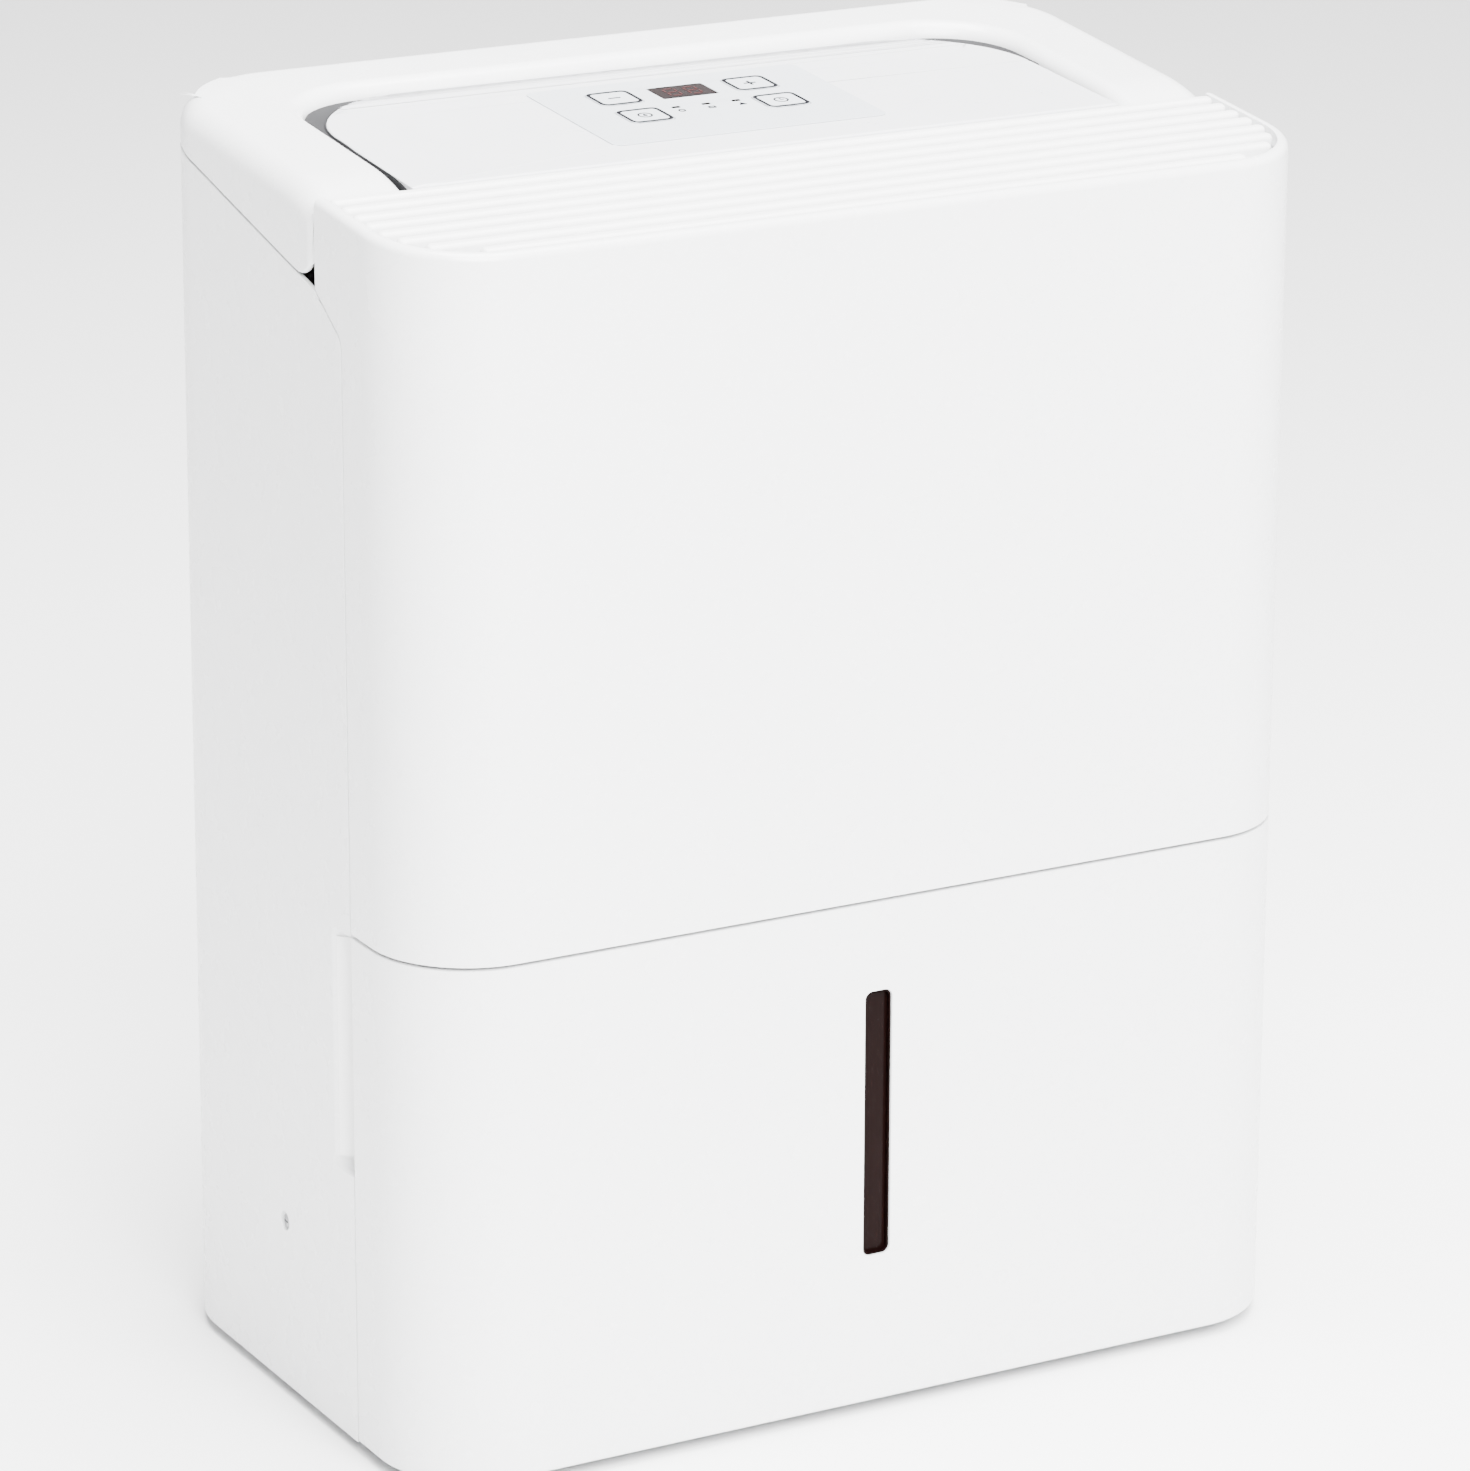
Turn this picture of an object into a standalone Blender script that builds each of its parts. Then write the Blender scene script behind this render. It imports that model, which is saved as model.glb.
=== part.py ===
"""Compact portable dehumidifier: cabinet, removable bucket and refrigeration unit, in metres, +Z up.

The origin is at the bottom centre. The front faces -Y and the air intake is at the back.
Each named object is one separate piece. Pieces that move have their origin, or their parent
empty, on their joint's axis.
"""

import math

import bmesh
import bpy
from mathutils import Matrix, Vector

# Cabinet
WIDTH = 0.386
DEPTH = 0.236
WALL = 0.0025
FRONT_RADIUS = 0.040
REAR_RADIUS = 0.046
HALF_W = WIDTH / 2
HALF_D = DEPTH / 2
FOOT_HEIGHT = 0.004
FIT = 0.0005  # clearance between fixed neighbours
ARC_STEPS = 7

# The top slopes down towards the front: heights are given on the line y = 0
TOP_SLOPE = 0.098
RIM_HEIGHT = 0.4895
RIM_EDGE = 0.011
PANEL_HEIGHT = 0.4886
DECK_HEIGHT = 0.4868
DECK_SLOPE = 0.072

# Joint line between the cheeks of the top cover and the rear housing
SEAM_HEIGHT = 0.4593
SEAM_SLOPE = 0.24
SEAM_GAP = 0.0008
CHEEK_FRONT = -0.0365

# Front shell and bucket
FRONT_SEAM_Y = -0.059
SHOULDER_Z = 0.4360
BUCKET_SEAM_Z = 0.2092
BUCKET_SEAM_GAP = 0.0012

# Control deck
WELL_HALF_W = 0.1535
WELL_BACK = 0.0795
WELL_RADIUS = 0.0335
SLOT_WIDTH = 0.0030  # open groove down each side of the deck
SLOT_DEPTH = 0.020
KEY_SIZE = (0.0185, 0.0175)
KEY_X = 0.0295
KEY_ROWS = (0.0145, 0.0395)
DISPLAY_SIZE = (0.0235, 0.0148)
LED_PITCH = 0.013
LED_Y = 0.0205

# Outlet grille
RIB_COUNT = 8
RIB_PITCH = 0.0096
RIB_WIDTH = 0.0036
FIRST_RIB_Y = -0.0425
GRILLE_DEPTH = 0.014
GROOVE_DEPTH = 0.006
VENT_HALF_W = 0.1175
WEB_COUNT = 6
WEB_WIDTH = 0.0035

# Bucket
TANK_HALF_W = 0.167
TANK_FRONT = -0.1125
TANK_BACK = -0.016
TANK_BOTTOM = 0.009
TANK_TOP = 0.190
TANK_WALL = 0.0022
WINDOW_SIZE = (0.0115, 0.1075)
WINDOW_Z = 0.1193
HANDLE_PIVOT = (-0.066, 0.163)
HANDLE_REACH = 0.036
HANDLE_BEND = 0.034
HANDLE_RADIUS = 0.0035
FLOAT_PIVOT = (-0.130, -0.024, 0.150)

# Finger pockets beside the bucket
POCKET_BACK = -0.043
POCKET_Z = (0.113, 0.2085)
POCKET_DEPTH = 0.020

# Rear intake
INTAKE_HALF_W = 0.132
INTAKE_Z = (0.230, 0.452)
INTAKE_SLOTS = 20
INTAKE_GAP = 0.0020

# Fan
FAN_CENTRE = (0.0, 0.325)
FAN_RADIUS = 0.084
FAN_BLADES = 32
SCROLL_Y = (-0.111, -0.038)
SCROLL_WALL = 0.0022

# Refrigeration
COIL_SIZE = (0.250, 0.022, 0.212)
COIL_BOTTOM = 0.232
EVAPORATOR_Y = 0.094
CONDENSER_Y = 0.067
FIN_COUNT = 22
COMPRESSOR_AT = (0.095, 0.048)
COMPRESSOR_RADIUS = 0.052
PIPE_RADIUS = 0.0035


# Scene and helper objects


def clear_scene():
    for obj in list(bpy.data.objects):
        bpy.data.objects.remove(obj, do_unlink=True)


def new_collection(name):
    made = bpy.data.collections.new(name)
    bpy.context.scene.collection.children.link(made)
    return made


clear_scene()
PARTS = new_collection("dehumidifier")
HELPERS = new_collection("cutters")


def new_object(name, data):
    made = bpy.data.objects.new(name, data)
    PARTS.objects.link(made)
    return made


def mesh_object(name, work):
    mesh = bpy.data.meshes.new(name)
    work.to_mesh(mesh)
    work.free()
    return new_object(name, mesh)


def helper(obj):
    """Turns an object into a cutter that isn't rendered."""
    PARTS.objects.unlink(obj)
    HELPERS.objects.link(obj)
    obj.hide_render = True
    obj.display_type = "WIRE"
    return obj


def empty(name, location, slope=0.0):
    made = new_object(name, None)
    made.location = location
    made.rotation_euler.x = math.atan(slope)
    return made


def finish(obj, material, parent=None, sharp=math.radians(35)):
    """Gives a piece its material, its parent and smooth round faces."""
    obj.data.materials.clear()
    obj.data.materials.append(material)
    obj.parent = parent
    if obj.type == "MESH":
        obj.data.shade_smooth()
        obj.data.set_sharp_from_angle(angle=sharp)
    return obj


# Shapes


def box(name, low, high):
    """A block between two opposite corners."""
    centre = [(a + b) / 2 for a, b in zip(low, high)]
    size = [abs(b - a) for a, b in zip(low, high)]
    work = bmesh.new()
    bmesh.ops.create_cube(work, size=1.0, matrix=Matrix.Diagonal((*size, 1.0)))
    made = mesh_object(name, work)
    made.location = centre
    return made


def cylinder(name, radius, start, end, segments=16):
    start, end = Vector(start), Vector(end)
    work = bmesh.new()
    bmesh.ops.create_cone(
        work,
        cap_ends=True,
        segments=segments,
        radius1=radius,
        radius2=radius,
        depth=(end - start).length,
    )
    made = mesh_object(name, work)
    made.location = (start + end) / 2
    made.rotation_euler = (end - start).to_track_quat("Z", "Y").to_euler()
    return made


def rounded(corners, steps=ARC_STEPS):
    """The points of a polygon whose corners (x, y, radius) are arcs."""
    points = []
    for index, (x, y, radius) in enumerate(corners):
        here = Vector((x, y))
        if not radius:
            points.append((x, y))
            continue
        before = (Vector(corners[index - 1][:2]) - here).normalized()
        after = (Vector(corners[(index + 1) % len(corners)][:2]) - here).normalized()
        half = before.angle(after) / 2
        centre = here + (before + after).normalized() * radius / math.sin(half)
        arm = here + before * radius / math.tan(half) - centre
        turn = math.pi - 2 * half
        if before.cross(after) > 0:
            turn = -turn
        for step in range(steps + 1):
            point = centre + Matrix.Rotation(turn * step / steps, 2) @ arm
            points.append((point.x, point.y))
    return points


AXES = {
    "X": Matrix(((0, 0, 1, 0), (1, 0, 0, 0), (0, 1, 0, 0), (0, 0, 0, 1))),
    "Y": Matrix(((1, 0, 0, 0), (0, 0, -1, 0), (0, 1, 0, 0), (0, 0, 0, 1))),
    "Z": Matrix.Identity(4),
}


def prism(name, loops, low, high, axis="Z"):
    """A flat outline, with any holes, drawn out along an axis from low to high."""
    curve = bpy.data.curves.new(name, "CURVE")
    curve.dimensions = "2D"
    curve.fill_mode = "BOTH"
    curve.extrude = (high - low) / 2
    for points in loops:
        spline = curve.splines.new("POLY")
        spline.points.add(len(points) - 1)
        for point, (u, v) in zip(spline.points, points):
            point.co = (u, v, 0, 1)
        spline.use_cyclic_u = True
    drawn = new_object(name, curve)
    middle = (low + high) / 2
    shift = {"X": (middle, 0, 0), "Y": (0, middle, 0), "Z": (0, 0, middle)}[axis]
    drawn.matrix_world = Matrix.Translation(shift) @ AXES[axis]
    bpy.context.view_layer.update()
    graph = bpy.context.evaluated_depsgraph_get()
    mesh = bpy.data.meshes.new_from_object(drawn.evaluated_get(graph))
    place = drawn.matrix_world.copy()
    bpy.data.objects.remove(drawn)
    bpy.data.curves.remove(curve)
    work = bmesh.new()
    work.from_mesh(mesh)
    bmesh.ops.remove_doubles(work, verts=work.verts, dist=1e-6)
    bmesh.ops.recalc_face_normals(work, faces=work.faces)
    work.to_mesh(mesh)
    work.free()
    mesh.name = name
    made = new_object(name, mesh)
    made.matrix_world = place
    return made


def turned(name, profile, location, axis="Z", steps=24):
    """A solid of revolution. The profile (radius, height) runs down its outer side."""
    mesh = bpy.data.meshes.new(name)
    points = [(radius, 0.0, height) for radius, height in profile]
    closed = profile[0][0] > 0
    count = len(points)
    edges = [(i, (i + 1) % count) for i in range(count if closed else count - 1)]
    mesh.from_pydata(points, edges, [])
    made = new_object(name, mesh)
    made.location = location
    if axis == "Y":
        made.rotation_euler.x = -math.pi / 2
    if axis == "X":
        made.rotation_euler.y = math.pi / 2
    screw = made.modifiers.new("turn", "SCREW")
    screw.axis = "Z"
    screw.steps = steps
    screw.render_steps = steps
    screw.use_merge_vertices = True
    screw.merge_threshold = 1e-5
    return made


def tube(name, points, radius, resolution=2):
    curve = bpy.data.curves.new(name, "CURVE")
    curve.dimensions = "3D"
    curve.bevel_depth = radius
    curve.bevel_resolution = resolution
    curve.use_fill_caps = True
    spline = curve.splines.new("POLY")
    spline.points.add(len(points) - 1)
    for point, place in zip(spline.points, points):
        point.co = (*place, 1)
    return new_object(name, curve)


def bent_path(corners, radius, steps=4):
    """A polyline in space whose inner corners are arcs of one radius."""
    corners = [Vector(corner) for corner in corners]
    points = [corners[0]]
    for before, here, after in zip(corners, corners[1:], corners[2:]):
        back = (before - here).normalized()
        ahead = (after - here).normalized()
        half = back.angle(ahead) / 2
        normal = back.cross(ahead).normalized()
        centre = here + (back + ahead).normalized() * radius / math.sin(half)
        arm = here + back * radius / math.tan(half) - centre
        turn = -(math.pi - 2 * half)
        for step in range(steps + 1):
            points.append(centre + Matrix.Rotation(turn * step / steps, 3, normal) @ arm)
    points.append(corners[-1])
    return points


def boolean(obj, other, operation):
    modifier = obj.modifiers.new(operation.lower(), "BOOLEAN")
    modifier.operation = operation
    modifier.solver = "EXACT"
    modifier.object = other
    return obj


def cut(obj, *others):
    for other in others:
        boolean(obj, helper(other) if other.name in PARTS.objects else other, "DIFFERENCE")
    return obj


def join(obj, *others):
    for other in others:
        boolean(obj, helper(other), "UNION")
    return obj


def keep_inside(obj, other):
    return boolean(obj, helper(other), "INTERSECT")


def many_boxes(name, spans):
    """One helper made of boxes that don't touch, each (low, high)."""
    work = bmesh.new()
    for low, high in spans:
        centre = Vector([(a + b) / 2 for a, b in zip(low, high)])
        size = [b - a for a, b in zip(low, high)]
        place = Matrix.Translation(centre) @ Matrix.Diagonal((*size, 1.0))
        bmesh.ops.create_cube(work, size=1.0, matrix=place)
    return mesh_object(name, work)


def both_sides(points):
    """The outline mirrored across x = 0."""
    return [(-x, y) for x, y in reversed(points)]


# Levels and outlines of the cabinet


def rim_z(y, drop=0.0):
    return RIM_HEIGHT - drop + TOP_SLOPE * y


def panel_z(y, drop=0.0):
    return PANEL_HEIGHT - drop + TOP_SLOPE * y


def deck_z(y, drop=0.0):
    return DECK_HEIGHT - drop + DECK_SLOPE * y


def seam_z(y, drop=0.0):
    return SEAM_HEIGHT - drop + SEAM_SLOPE * y


def cabinet_outline(inset=0.0):
    x, y = HALF_W - inset, HALF_D - inset
    front, rear = FRONT_RADIUS - inset, REAR_RADIUS - inset
    return rounded([(-x, -y, front), (x, -y, front), (x, y, rear), (-x, y, rear)])


def well_outline(inset=0.0, half_w=WELL_HALF_W, front=CHEEK_FRONT):
    """The well that the control deck sits in, inside the cheeks and the rear rim."""
    back, radius = WELL_BACK - inset, WELL_RADIUS - inset
    x = half_w - inset
    return rounded([(-x, front, 0), (x, front, 0), (x, back, radius), (-x, back, radius)])


def below(name, height, slope, bottom):
    """Everything between a level and a sloping plane."""
    near, far = -0.2, 0.2
    corners = [(near, bottom), (far, bottom), (far, height + slope * far), (near, height + slope * near)]
    return prism(name, [corners], -0.3, 0.3, "X")


def white_plastic():
    return material("white_plastic", (0.86, 0.865, 0.87), 0.28)


def material(name, colour, roughness, metallic=0.0):
    found = bpy.data.materials.get(name)
    if found:
        return found
    made = bpy.data.materials.new(name)
    made.use_nodes = True
    shader = made.node_tree.nodes["Principled BSDF"]
    shader.inputs["Base Color"].default_value = (*colour, 1.0)
    shader.inputs["Roughness"].default_value = roughness
    shader.inputs["Metallic"].default_value = metallic
    return made


def deck_plastic():
    return material("deck_plastic", (0.80, 0.805, 0.815), 0.32)


def inner_plastic():
    return material("inner_plastic", (0.62, 0.63, 0.64), 0.5)


def tank_plastic():
    return material("tank_plastic", (0.72, 0.74, 0.75), 0.35)


def film():
    return material("film", (0.74, 0.76, 0.79), 0.3)


def smoked_lens():
    return material("smoked_lens", (0.035, 0.02, 0.018), 0.12)


def lamp_lens():
    return material("lamp_lens", (0.08, 0.08, 0.08), 0.25)


def rubber():
    return material("rubber", (0.03, 0.03, 0.03), 0.8)


def steel():
    return material("steel", (0.55, 0.56, 0.57), 0.35, 1.0)


def painted_steel():
    return material("painted_steel", (0.02, 0.02, 0.022), 0.4)


def aluminium():
    return material("aluminium", (0.75, 0.76, 0.77), 0.35, 1.0)


def copper():
    return material("copper", (0.72, 0.38, 0.22), 0.3, 1.0)


def circuit():
    return material("circuit", (0.03, 0.18, 0.08), 0.5)


def net():
    return material("net", (0.12, 0.12, 0.13), 0.7)


def foam():
    return material("foam", (0.85, 0.85, 0.83), 0.8)


# Cabinet shells


def make_base_pan(root):
    floor = FOOT_HEIGHT
    inset = WALL + FIT
    back_outline = cabinet_outline(inset)
    pan = prism("base_pan", [back_outline], floor, floor + 0.020)
    room = cabinet_outline(inset + WALL)
    cut(pan, prism("cut_pan_room", [room], floor + 0.0025, 0.05))
    front_half = box("cut_pan_front", (-0.2, -0.2, floor + 0.0025), (0.2, -0.012, 0.05))
    cut(pan, front_half)
    # The bucket's front shell passes round the pan's front end
    cut(pan, box("cut_pan_end", (-0.2, -0.2, 0), (0.2, -HALF_D + 0.0055, 0.05)))
    for side in (-1, 1):
        low = (side * 0.110, -0.108, floor + 0.002)
        high = (side * 0.116, -0.020, floor + 0.0045)
        join(pan, box(f"rail_{side}", low, high))
    for x, y in grommet_places():
        join(pan, cylinder(f"stud_{x:.3f}_{y:.3f}", 0.0028, (x, y, floor + 0.001), (x, y, 0.0245), 8))
    cut_screw_holes(pan, rear_screws())
    finish(pan, inner_plastic(), root)


def make_feet(root):
    places = [(side * 0.150, y) for y in (-0.080, 0.085) for side in (-1, 1)]
    for index, (x, y) in enumerate(places, 1):
        top = FOOT_HEIGHT - 0.0003
        profile = [(0, top), (0.0115, top), (0.0115, 0.0012), (0.0100, 0.0), (0, 0.0)]
        foot = turned(f"foot_{index}", profile, (x, y, 0), steps=16)
        finish(foot, rubber(), root)


def housing_side(gap=0.0):
    """The rear housing in side view (y, z), up to the joint lines with its neighbours."""
    front = FRONT_SEAM_Y + SEAM_GAP / 2 + gap
    bottom = FOOT_HEIGHT + 0.0005
    return rounded(
        [
            (front, bottom, 0),
            (0.15, bottom, 0),
            (0.15, seam_z(0.15, SEAM_GAP / 2), 0),
            (CHEEK_FRONT - 0.0005, seam_z(CHEEK_FRONT, SEAM_GAP / 2), 0.003),
            (front, SHOULDER_Z, 0.008),
        ],
        4,
    )


def pocket_outline(side):
    """The scoop beside the bucket in plan: it starts at the wall and runs in towards the front."""
    far = -0.075
    outer = HALF_W + 0.01
    inner = HALF_W - POCKET_DEPTH
    points = [
        (outer, POCKET_BACK),
        (HALF_W, POCKET_BACK),
        (inner, POCKET_BACK - POCKET_DEPTH),
        (inner, far),
        (outer, far),
    ]
    return points if side > 0 else both_sides(points)


def pocket_wall_outline(side):
    inner = HALF_W - POCKET_DEPTH
    skin = HALF_W - 0.001
    behind = inner - 0.0018
    beyond = FRONT_SEAM_Y - 0.010
    points = [
        (skin, POCKET_BACK + 0.003),
        (behind, POCKET_BACK - POCKET_DEPTH + 0.0018),
        (behind, beyond),
        (skin, beyond),
    ]
    return points if side > 0 else both_sides(points)


def add_pocket_wall(shell, side):
    low, high = POCKET_Z
    join(shell, prism(f"pocket_wall_{side}", [pocket_wall_outline(side)], low - WALL, high + WALL))


def cut_pocket(shell, side):
    low, high = POCKET_Z
    scoop = prism(f"cut_pocket_{side}", [pocket_outline(side)], low, high)
    round_edges(scoop, 0.004, 3)
    cut(shell, scoop)


def round_edges(obj, width, segments, angle=math.radians(60)):
    bevel = obj.modifiers.new("round", "BEVEL")
    bevel.width = width
    bevel.segments = segments
    bevel.limit_method = "ANGLE"
    bevel.angle_limit = angle


def drain_port_at():
    return (-0.105, 0.198)


def gland_at():
    return (0.118, 0.046)


def side_screws():
    """Start and direction of each side screw, through the housing into the bulkhead."""
    return [((side * HALF_W, 0.004, 0.073), Vector((-side, 0, 0))) for side in (-1, 1)]


def rear_screws():
    return [((side * 0.125, HALF_D, 0.016), Vector((0, -1, 0))) for side in (-1, 1)]


SCREW_HEAD = (0.0030, 0.0013)
SCREW_SHANK = (0.0015, 0.010)
SCREW_ROOM = 0.0004


def cut_screw_holes(obj, screws):
    for (x, y, z), into in screws:
        start = Vector((x, y, z))
        name = f"cut_screw_{obj.name}_{x:.3f}_{z:.3f}"
        outside = start - into * 0.002
        head = SCREW_HEAD[0] + SCREW_ROOM
        shank = SCREW_SHANK[0] + SCREW_ROOM
        well = cylinder(name + "_head", head, outside, start + into * 0.0017, 12)
        hole = cylinder(name + "_shank", shank, outside, start + into * 0.016, 8)
        cut(obj, well, hole)


def make_rear_housing(root):
    shell = prism("rear_housing", [cabinet_outline(), cabinet_outline(WALL)], 0.001, 0.52)
    for side in (-1, 1):
        add_pocket_wall(shell, side)
    keep_inside(shell, prism("keep_housing_side", [housing_side()], -0.3, 0.3, "X"))
    for side in (-1, 1):
        cut_pocket(shell, side)
    low, high = INTAKE_Z
    gap = INTAKE_GAP
    opening = box(
        "cut_intake",
        (-INTAKE_HALF_W - gap, 0.10, low - gap),
        (INTAKE_HALF_W + gap, 0.13, high + gap),
    )
    cut(shell, opening)
    add_drain_cup(shell)
    x, z = gland_at()
    cut(shell, cylinder("cut_gland", 0.0065, (x, 0.10, z), (x, 0.13, z)))
    cut_screw_holes(shell, side_screws() + rear_screws())
    finish(shell, white_plastic(), root)


def add_drain_cup(shell):
    """A round recess in the back wall for the drain connection."""
    x, z = drain_port_at()
    floor = HALF_D - 0.016
    join(shell, cylinder("drain_cup", 0.0185, (x, floor - WALL, z), (x, HALF_D - 0.001, z), 24))
    cut(shell, cylinder("cut_drain_cup", 0.016, (x, floor, z), (x, HALF_D + 0.01, z), 24))
    cut(shell, cylinder("cut_drain_hole", 0.0072, (x, floor - 0.01, z), (x, HALF_D, z), 16))


def front_panel_side():
    rear = FRONT_SEAM_Y - SEAM_GAP / 2
    upper = CHEEK_FRONT - SEAM_GAP - 0.0003
    bottom = BUCKET_SEAM_Z + BUCKET_SEAM_GAP / 2
    return rounded(
        [
            (-0.13, bottom, 0),
            (rear, bottom, 0),
            (rear, SHOULDER_Z + 0.0004, 0.008),
            (upper, seam_z(CHEEK_FRONT) + 0.0003, 0.002),
            (upper, panel_z(upper), 0),
            (-0.13, panel_z(-0.13), 0),
        ],
        4,
    )


def make_front_panel(root):
    shell = prism("front_panel", [cabinet_outline(), cabinet_outline(WALL)], 0.19, 0.50)
    keep_inside(shell, prism("keep_panel_side", [front_panel_side()], -0.3, 0.3, "X"))
    finish(shell, white_plastic(), root)


def envelope(name, inset, height, edge, steps=5):
    """The cabinet's outer form under a sloping top whose outer edge is rounded."""
    rings = [(cabinet_outline(inset), lambda y: 0.40)]
    for step in range(steps + 1):
        angle = math.pi / 2 * step / steps
        level = height - edge * (1 - math.sin(angle))
        outline = cabinet_outline(inset + edge * (1 - math.cos(angle)))
        rings.append((outline, lambda y, level=level: level + TOP_SLOPE * y))
    work = bmesh.new()
    loops = []
    for outline, level_at in rings:
        loops.append([work.verts.new((x, y, level_at(y))) for x, y in outline])
    count = len(loops[0])
    for lower, upper in zip(loops, loops[1:]):
        for index in range(count):
            after = (index + 1) % count
            work.faces.new((lower[index], lower[after], upper[after], upper[index]))
    work.faces.new(loops[-1])
    work.faces.new(list(reversed(loops[0])))
    bmesh.ops.recalc_face_normals(work, faces=work.faces)
    return mesh_object(name, work)


def cheek_side():
    front = CHEEK_FRONT
    return rounded(
        [
            (front, seam_z(front, -SEAM_GAP / 2), 0.011),
            (0.15, seam_z(0.15, -SEAM_GAP / 2), 0),
            (0.15, 0.53, 0),
            (front, 0.53, 0),
        ],
        5,
    )


def make_top_cover(root):
    cover = envelope("top_cover", 0.0, RIM_HEIGHT, RIM_EDGE)
    keep_inside(cover, prism("keep_cheek_side", [cheek_side()], -0.3, 0.3, "X"))
    hollow = envelope("cut_cover_room", WALL, RIM_HEIGHT - WALL, RIM_EDGE - WALL)
    wall_outline = well_outline(-WALL, WELL_HALF_W, -0.2)
    cut(hollow, prism("cut_room_well", [wall_outline], 0.3, 0.6))
    cut(hollow, box("cut_room_front", (-0.2, -0.2, 0.3), (0.2, CHEEK_FRONT + WALL, 0.6)))
    cut(cover, prism("cut_well", [well_outline(0, WELL_HALF_W, -0.2)], 0.3, 0.6))
    cut(cover, hollow)
    finish(cover, white_plastic(), root)


# Outlet grille


def rib_positions():
    return [FIRST_RIB_Y - RIB_PITCH * index for index in range(RIB_COUNT)]


def grille_outline():
    """Inside the front panel, up to the cheeks and the deck."""
    inset = WALL + FIT
    x, y = HALF_W - inset, -HALF_D + inset
    back = CHEEK_FRONT - 0.0016
    radius = FRONT_RADIUS - inset
    return rounded([(-x, y, radius), (x, y, radius), (x, back, 0), (-x, back, 0)])


def make_outlet_grille(root):
    grille = prism("outlet_grille", [grille_outline()], 0.40, 0.52)
    top = PANEL_HEIGHT - 0.0002
    keep_inside(grille, below("keep_grille_top", top, TOP_SLOPE, 0.42))
    below_grille = below("cut_grille_below", top - GRILLE_DEPTH, TOP_SLOPE, 0.30)
    cut(grille, below_grille)
    frame = empty("grille_frame", (0, 0, top), TOP_SLOPE)
    frame.parent = root
    cut(grille, make_groove_cutters(frame))
    cut(grille, make_vent_cutters(frame))
    finish(grille, white_plastic(), root)


def groove_spans():
    """The y range of each groove: one behind every rib but the first, and one in front of the last."""
    ribs = rib_positions()
    half = RIB_WIDTH / 2
    spans = [(near + half, far - half) for far, near in zip(ribs, ribs[1:])]
    spans.append((ribs[-1] - half - 0.0025, ribs[-1] - half))
    return spans


def groove_reach(y):
    """Half the length of a groove, inside the rounded corners of the panel."""
    border = 0.0050
    into_corner = max(0.0, -y - (HALF_D - FRONT_RADIUS))
    corner = FRONT_RADIUS - math.sqrt(max(0.0, FRONT_RADIUS**2 - into_corner**2))
    return HALF_W - corner - border


def make_groove_cutters(frame):
    spans = []
    for near, far in groove_spans():
        reach = groove_reach(near)
        spans.append(((-reach, near, -GROOVE_DEPTH), (reach, far, 0.02)))
    made = many_boxes("cut_grooves", spans)
    made.parent = frame
    return made


def make_vent_cutters(frame):
    cells = WEB_COUNT - 1
    pitch = 2 * VENT_HALF_W / cells
    spans = []
    for near, far in groove_spans()[:-1]:
        for index in range(cells):
            left = -VENT_HALF_W + pitch * index + WEB_WIDTH / 2
            right = left + pitch - WEB_WIDTH
            spans.append(((left, near, -0.03), (right, far, -GROOVE_DEPTH + 0.001)))
    made = many_boxes("cut_vents", spans)
    made.parent = frame
    return made


# Control deck


def deck_pads():
    """Centre of each key on the deck."""
    rows = {"down": (-KEY_X, KEY_ROWS[1]), "mode": (-KEY_X, KEY_ROWS[0])}
    rows["up"] = (KEY_X, KEY_ROWS[1])
    rows["timer"] = (KEY_X, KEY_ROWS[0])
    return rows


def led_places():
    return [((index - 1) * LED_PITCH, LED_Y) for index in range(3)]


def flat_pad(name, centre, size, low, high, radius=0.0, steps=3):
    x, y = centre
    u, v = size[0] / 2, size[1] / 2
    corners = [(x - u, y - v), (x + u, y - v), (x + u, y + v), (x - u, y + v)]
    return prism(name, [rounded([(*corner, radius) for corner in corners], steps)], low, high)


def deck_openings(extra, low, high, name):
    """Helpers that open the deck or the film for the keys, the display and the lamps."""
    made = []
    for key, centre in deck_pads().items():
        size = [side + 2 * extra for side in KEY_SIZE]
        made.append(flat_pad(f"cut_{name}_{key}", centre, size, low, high, 0.0030 + extra))
    size = [side + 2 * extra for side in DISPLAY_SIZE]
    made.append(flat_pad(f"cut_{name}_display", (0, KEY_ROWS[1]), size, low, high))
    for index, centre in enumerate(led_places()):
        size = (0.0032 + 2 * extra, 0.0014 + 2 * extra)
        made.append(flat_pad(f"cut_{name}_led_{index}", centre, size, low, high))
    return made


def make_control_deck(root, frame):
    narrow = WELL_HALF_W - SLOT_WIDTH
    front = CHEEK_FRONT + 0.0004
    slot_floor = RIM_HEIGHT - SLOT_DEPTH
    deck = prism("control_deck", [well_outline(FIT, WELL_HALF_W, front)], 0.42, 0.52)
    keep_inside(deck, below("keep_deck_top", DECK_HEIGHT, DECK_SLOPE, 0.30))
    for side in (-1, 1):
        low = (side * narrow, -0.1, 0.40)
        high = (side * 0.2, 0.2, 0.60)
        slot = box(f"cut_slot_{side}", low, high)
        cut(slot, below(f"cut_slot_floor_{side}", slot_floor, TOP_SLOPE, 0.30))
        cut(deck, slot)
    cut(deck, below("cut_deck_bottom", slot_floor - WALL, TOP_SLOPE, 0.20))
    room = prism("cut_deck_room", [well_outline(FIT + WALL, narrow + FIT, front + WALL)], 0.31, 0.60)
    keep_inside(room, below("keep_deck_room", DECK_HEIGHT - WALL, DECK_SLOPE, 0.25))
    cut(deck, room)
    for opening in deck_openings(0.0004, -0.02, 0.01, "deck"):
        opening.parent = frame
        cut(deck, opening)
    finish(deck, deck_plastic(), root)


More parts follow.
